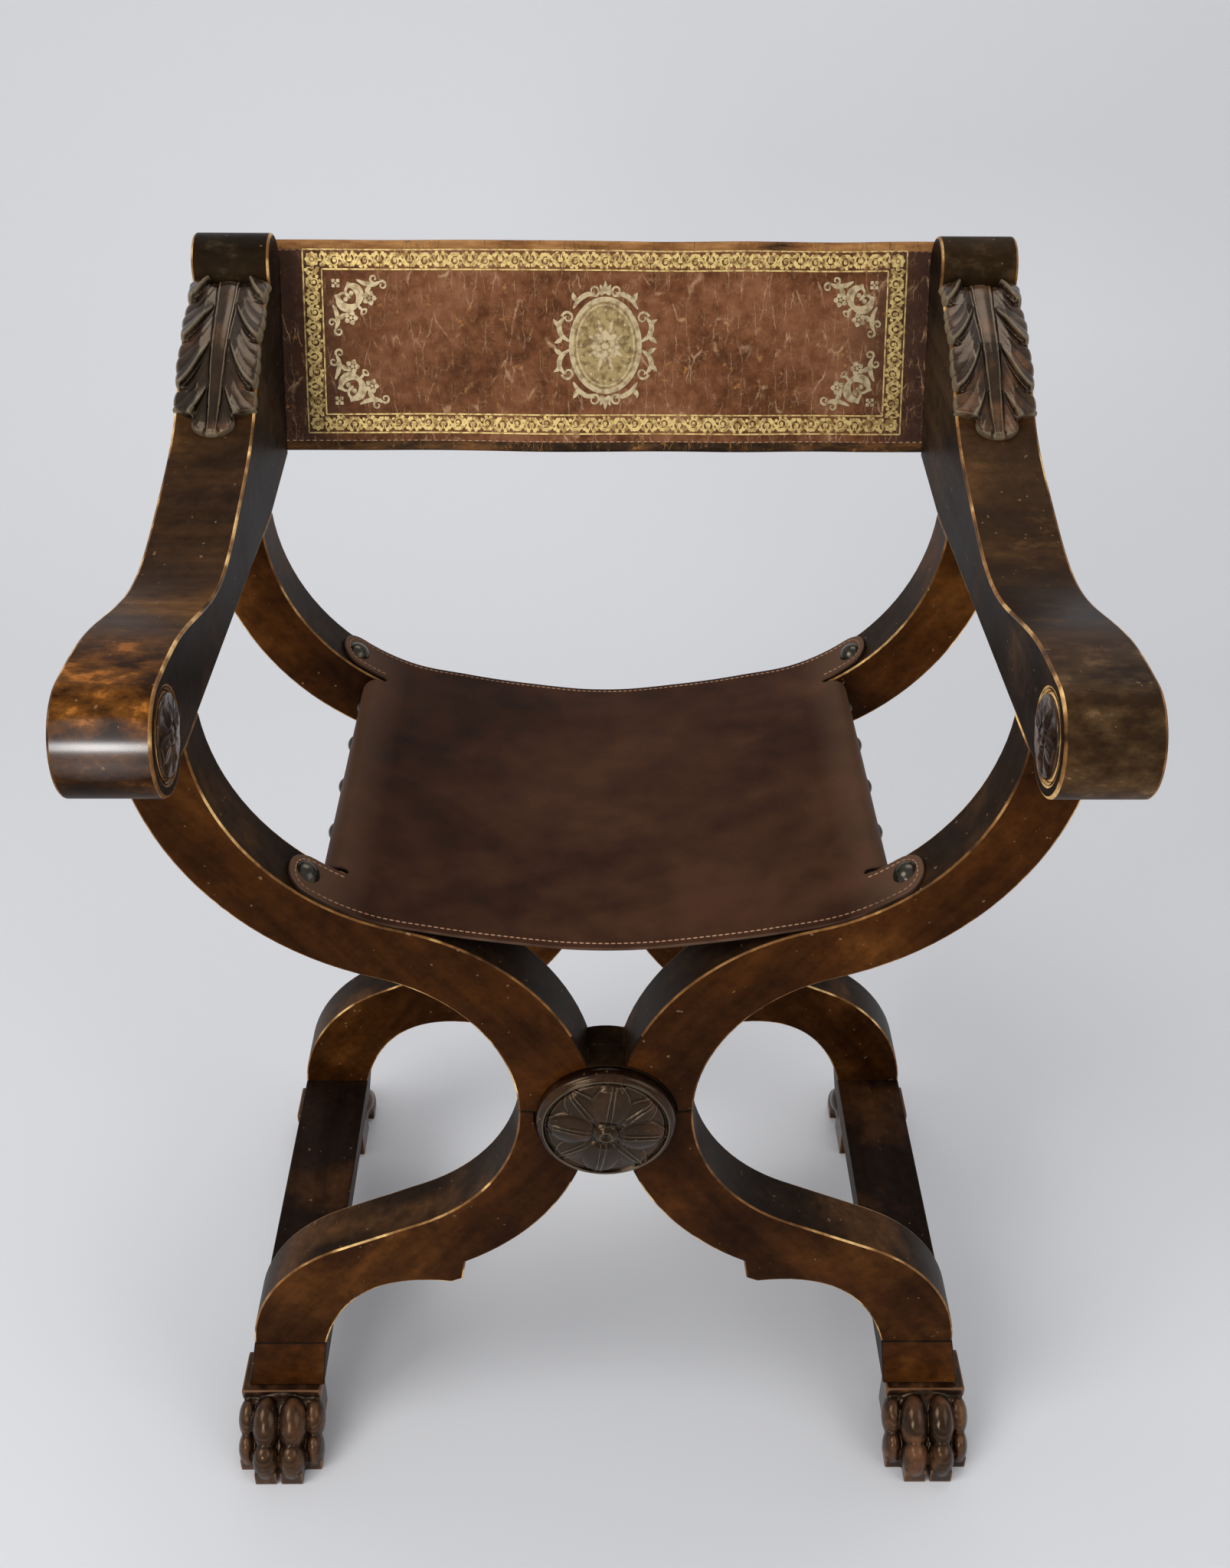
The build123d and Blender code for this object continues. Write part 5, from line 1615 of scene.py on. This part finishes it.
def leaf_height(down, across):
    """Height in millimetres; down runs from the leaf's root to its tip, across from the stem outwards."""
    v = min(1.0, abs(across) / LEAF_HALF)
    stem_half = 3.2 + 3.8 * (1 - down / LEAF_LENGTH)
    past_stem = max(0.0, (abs(across) - stem_half) / (LEAF_HALF - stem_half))
    start = down - SWEEP * (1 - (1 - past_stem) ** 2) * (0.75 + 0.25 * down / LEAF_LENGTH)
    stem = 2.6 * max(0.0, 1 - (across / stem_half) ** 2) ** 0.5 + 1.5 * bell(abs(across) - stem_half, 0.9)
    lobe = (start + 14) / LOBE_LENGTH
    part = lobe - floor(lobe)
    lap = 0.3 + 4.4 * part ** 1.5
    if part > 0.93:
        lap *= (1 - part) / 0.07
    lip = 0.9 * bell(part - 0.9, 0.05)
    ribs = 0.7 * (abs(sin(pi * RIBS * part)) ** 0.6 - 0.4) * (0.3 + 0.7 * v) * (1 if part < 0.85 else 0)
    swell = 2.2 * sin(pi * min(1.0, past_stem * 1.05)) * (0.4 + 0.6 * part)
    return 2.3 + (lap + swell + lip) * min(1.0, 3.0 * past_stem) + ribs * min(1.0, 4 * past_stem) + stem


def leaf_edge(down):
    """Half width of the leaf: fingers down its length, drawn in to a blunt tip."""
    t = down / LEAF_LENGTH
    lobe = (down - SWEEP * (0.75 + 0.25 * t) + 14) / LOBE_LENGTH
    part = lobe - floor(lobe)
    fingers = 1.5 * abs(sin(pi * RIBS * part)) ** 0.5 - 1.2
    lobe_form = 1.6 * sin(pi * min(1.0, part * 1.02)) ** 0.8
    notch = -3.2 * bell(part - 1.0, 0.05) - 3.2 * bell(part, 0.03)
    width = LEAF_HALF - 1.2 + fingers + lobe_form + notch
    if t > 0.84:
        width = 15.0 + (width - 15.0) * max(0.0, 1 - (t - 0.84) / 0.05)
        width *= sqrt(max(0.02, 1 - max(0.0, (t - 0.92) / 0.08) ** 2))
    return width


leaf_widths = [leaf_edge(down) for down in range(int(LEAF_LENGTH))]
print("a leaf is at most", round(2 * max(leaf_widths), 1), "mm wide")

# %% The line that the leaves hang along
ARM_LINE = [Vector((y * MM, z * MM)) for y, z in
            ((225, 694), (290, 719), (345, 758), (385, 776), (403.5, 777.5))]
LEAF_ROOT_TRIM = 3 * MM
arm_line = smooth_path(ARM_LINE, 24)
arm_marks = lengths(arm_line)
ROOT_MARK = arm_marks[-1] - LEAF_ROOT_TRIM
print("the line is", round(arm_marks[-1] / MM), "mm long")


# %% The points of a leaf
LEAF_ROWS, LEAF_COLUMNS = 190, 90


def tree_of(solid):
    """A search tree over the faces of a solid, for casting rays."""
    corners = [v.co.copy() for v in solid.data.vertices]
    return BVHTree.FromPolygons(corners, [tuple(p.vertices) for p in solid.data.polygons])


def leaf_points(arm, side):
    """The leaf's upper skin and, point for point, its underside just inside the arm."""
    arm_tree = tree_of(frame["nodes"]["arm_" + arm])
    middle = side * (ARM_INSIDE + ARM_OUTSIDE) / 2
    above, under = [], []
    for j in range(LEAF_ROWS + 1):
        down = LEAF_LENGTH * j / LEAF_ROWS
        mark = ROOT_MARK - down * MM
        here, ahead = along(arm_line, arm_marks, mark), along(arm_line, arm_marks, mark + 1 * MM)
        run = (ahead - here).normalized()
        out = Vector((0, -run.y, run.x))
        start = Vector((middle, FRONT_Y + here.x, here.y)) + out * 30 * MM
        hit = arm_tree.ray_cast(start, -out)[0]
        to_wood = (hit - start).dot(-out) if hit else 30 * MM
        ends = min(1.0, (LEAF_LENGTH - down) / 3 + 0.05) ** 0.5 * min(1.0, down / 4 + 0.25)
        half = leaf_edge(down)
        for i in range(LEAF_COLUMNS + 1):
            u = 2 * i / LEAF_COLUMNS - 1
            x = half * u
            height = leaf_height(down, x) * sqrt(max(0.0, 1 - abs(u) ** 14)) * ends
            foot = start - out * to_wood + Vector((side * x * MM, 0, 0))
            above.append(foot + out * height * MM)
            under.append(foot - out * 1.5 * MM)
    return above, under


print("a leaf is a grid of", LEAF_ROWS, "by", LEAF_COLUMNS, "faces")


# %% Lay a leaf on each post
def closed_sheet(rows, columns):
    """Faces of a sheet with an underside: both grids of points and the strip around them."""
    w = columns + 1
    count = w * (rows + 1)
    upper = grid_faces(rows, columns)
    lower = [tuple(count + v for v in reversed(face)) for face in upper]
    rim = (list(range(w)) + [j * w + columns for j in range(1, rows + 1)]
           + [rows * w + i for i in range(columns - 1, -1, -1)] + [j * w for j in range(rows - 1, 0, -1)])
    return upper + lower + [(a, b, b + count, a + count) for a, b in zip(rim, rim[1:] + rim[:1])]


def leaf_on(arm, side):
    """The leaf of one arm; it moves with the arm's frame."""
    above, under = leaf_points(arm, side)
    mesh = bpy.data.meshes.new("leaf")
    mesh.from_pydata(above + under, [], closed_sheet(LEAF_ROWS, LEAF_COLUMNS))
    outward_and_smooth(mesh)
    mark_ridges(mesh)
    mesh.materials.append(carved_walnut)
    leaf = new_object("acanthus_" + arm, mesh)
    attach(leaf, body_of["arm_" + arm])
    print(leaf.name, "has", len(mesh.polygons), "faces")


for arm, side in (("left", -1), ("right", 1)):
    leaf_on(arm, side)

# %% [markdown]
# ## Paws
# Each foot is a lion's paw: two long middle toes in front of two shorter ones, each with a high knuckle and
# a rounded tip, under a plain collar. Round forms that flow together are quickest as a heap of egg shapes.
# The Remesh modifier melts them into one skin, a little smoothing takes its steps off, and fine ripples run
# over the knuckles.

# %% The paw's forms
VOXEL = 0.9 * MM
RIPPLE, RIPPLE_PITCH = 0.09 * MM, 3.2 * MM
EGGS = [  # place, half sizes and forward tilt in degrees; x and -x are both made
    ((9.9, -22, 36), (10.8, 12.5, 20.5), 38),
    ((10.0, -38.6, 16), (10.3, 11.4, 16.5), 8),
    ((25.0, -12, 31), (8.3, 12, 16.5), 30),
    ((25.6, -26, 14), (7.2, 11.5, 14.5), 8),
    ((3.0, -4, 24), (26.0, 24, 27), 0),
    ((2.0, -20, 16), (23, 18, 17), 0),
]
BLOCKS = [  # lowest and highest corner of the plain forms; x and -x are both made
    ((1.8, -48.6, 0), (18.2, -30, 12)),
    ((19.6, -36.0, 0), (31.4, -18, 10)),
    ((0, -8, 0), (27, 28, 46)),
    ((0, -5, 45), (30.5, 31.5, 54)),
]


def add_egg(work, place, sizes, tilt, mirror):
    """A stretched ball that leans forward."""
    moved = Matrix.Translation(Vector((mirror * place[0], place[1], place[2])) * MM)
    stretched = Matrix.Diagonal((*[v * MM for v in sizes], 1))
    matrix = moved @ Matrix.Rotation(radians(-tilt), 4, "X") @ stretched
    bmesh.ops.create_icosphere(work, subdivisions=4, radius=1.0, matrix=matrix)


def add_block(work, low, high, mirror):
    """A box; its inner side reaches half a millimetre further, so that the mirrored pair overlaps."""
    low, high = Vector(low) - Vector((0.5, 0, 0)), Vector(high)
    for v in bmesh.ops.create_cube(work, size=1.0)["verts"]:
        place = low + (v.co + Vector((0.5, 0.5, 0.5))) * (high - low)
        v.co = Vector((mirror * place.x, place.y, place.z)) * MM


def paw_heap():
    """All forms in one mesh, still lying through each other."""
    work = bmesh.new()
    for mirror in (-1, 1):
        for place, sizes, tilt in EGGS:
            add_egg(work, place, sizes, tilt, mirror)
        for low, high in BLOCKS:
            add_block(work, low, high, mirror)
    mesh = bpy.data.meshes.new("paw_heap")
    work.to_mesh(mesh)
    work.free()
    return mesh


print("the heap has", 2 * len(EGGS), "eggs and", 2 * len(BLOCKS), "blocks")


# %% Melt the forms into one paw
def rippled(mesh):
    """Fine ripples over the knuckles, pushed out along the skin."""
    outwards = [vertex.normal.copy() for vertex in mesh.vertices]
    for vertex, out in zip(mesh.vertices, outwards):
        knuckle = bell(vertex.co.z / MM - 33, 13) * (1 if vertex.co.y < -14 * MM else 0)
        vertex.co += out * RIPPLE * knuckle * sin(2 * pi * (vertex.co.z - 0.6 * vertex.co.y) / RIPPLE_PITCH)


def flat_ends(mesh):
    """A flat sole on the floor and a flat top under the runner."""
    for vertex in mesh.vertices:
        if vertex.co.z < 0.6 * MM:
            vertex.co.z = max(0.0, vertex.co.z * 0.2)
        if vertex.co.z > 54.6 * MM:
            vertex.co.z = 54.9 * MM


def paw_mesh():
    """One paw, drawn for the front of the chair and the middle of x."""
    heap = new_object("paw_heap", paw_heap())
    remesh = heap.modifiers.new("skin", "REMESH")
    remesh.mode, remesh.voxel_size = "VOXEL", VOXEL
    soften = heap.modifiers.new("soften", "SMOOTH")
    soften.factor, soften.iterations = 0.6, 4
    result = applied(heap).data
    bpy.data.objects.remove(heap)
    rippled(result)
    flat_ends(result)
    mark_ridges(result, 0.6 * MM, 14)
    return result


paw_shape = paw_mesh()
print("one paw has", len(paw_shape.polygons), "faces")


# %% Four paws
def paw_at(node, side, rear):
    """The paw under one end of a runner; the rear ones face backwards."""
    low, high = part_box(node)
    mesh = paw_shape.copy()
    flip_x, flip_y = (1 if side > 0 else -1), (-1 if rear else 1)
    origin = Vector(((low.x + high.x) / 2, BACK_Y if rear else FRONT_Y, 0))
    for vertex in mesh.vertices:
        vertex.co = Vector((vertex.co.x * flip_x, vertex.co.y * flip_y, vertex.co.z)) + origin
    if flip_x * flip_y < 0:
        mesh.flip_normals()
    mesh.polygons.foreach_set("use_smooth", [True] * len(mesh.polygons))
    mesh.materials.clear()
    mesh.materials.append(paw_walnut)
    piece = new_object(node + "_carved", mesh)
    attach(piece, body_of[node])
    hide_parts(node)
    print(piece.name, "stands at", [round(v / MM) for v in origin])


for node in ("paw_front_left", "paw_front_right", "paw_rear_left", "paw_rear_right"):
    paw_at(node, 1 if "right" in node else -1, "rear" in node)

# %% [markdown]
# ## Nails, dowels and bolts
# Nails, dowels and pivot bolts are shown as they come from the frame. They only need their materials.

# %% Materials on the pieces that stay as they are
plain_pieces = {"nails": nail_brass, "dowels": dowel_wood, "pivot_": bolt_steel}
for word, material in plain_pieces.items():
    nodes = [node for node in frame["nodes"] if word in node]
    for node in nodes:
        frame["nodes"][node].data.materials.clear()
        frame["nodes"][node].data.materials.append(material)
    print(len(nodes), "nodes get", material.name)
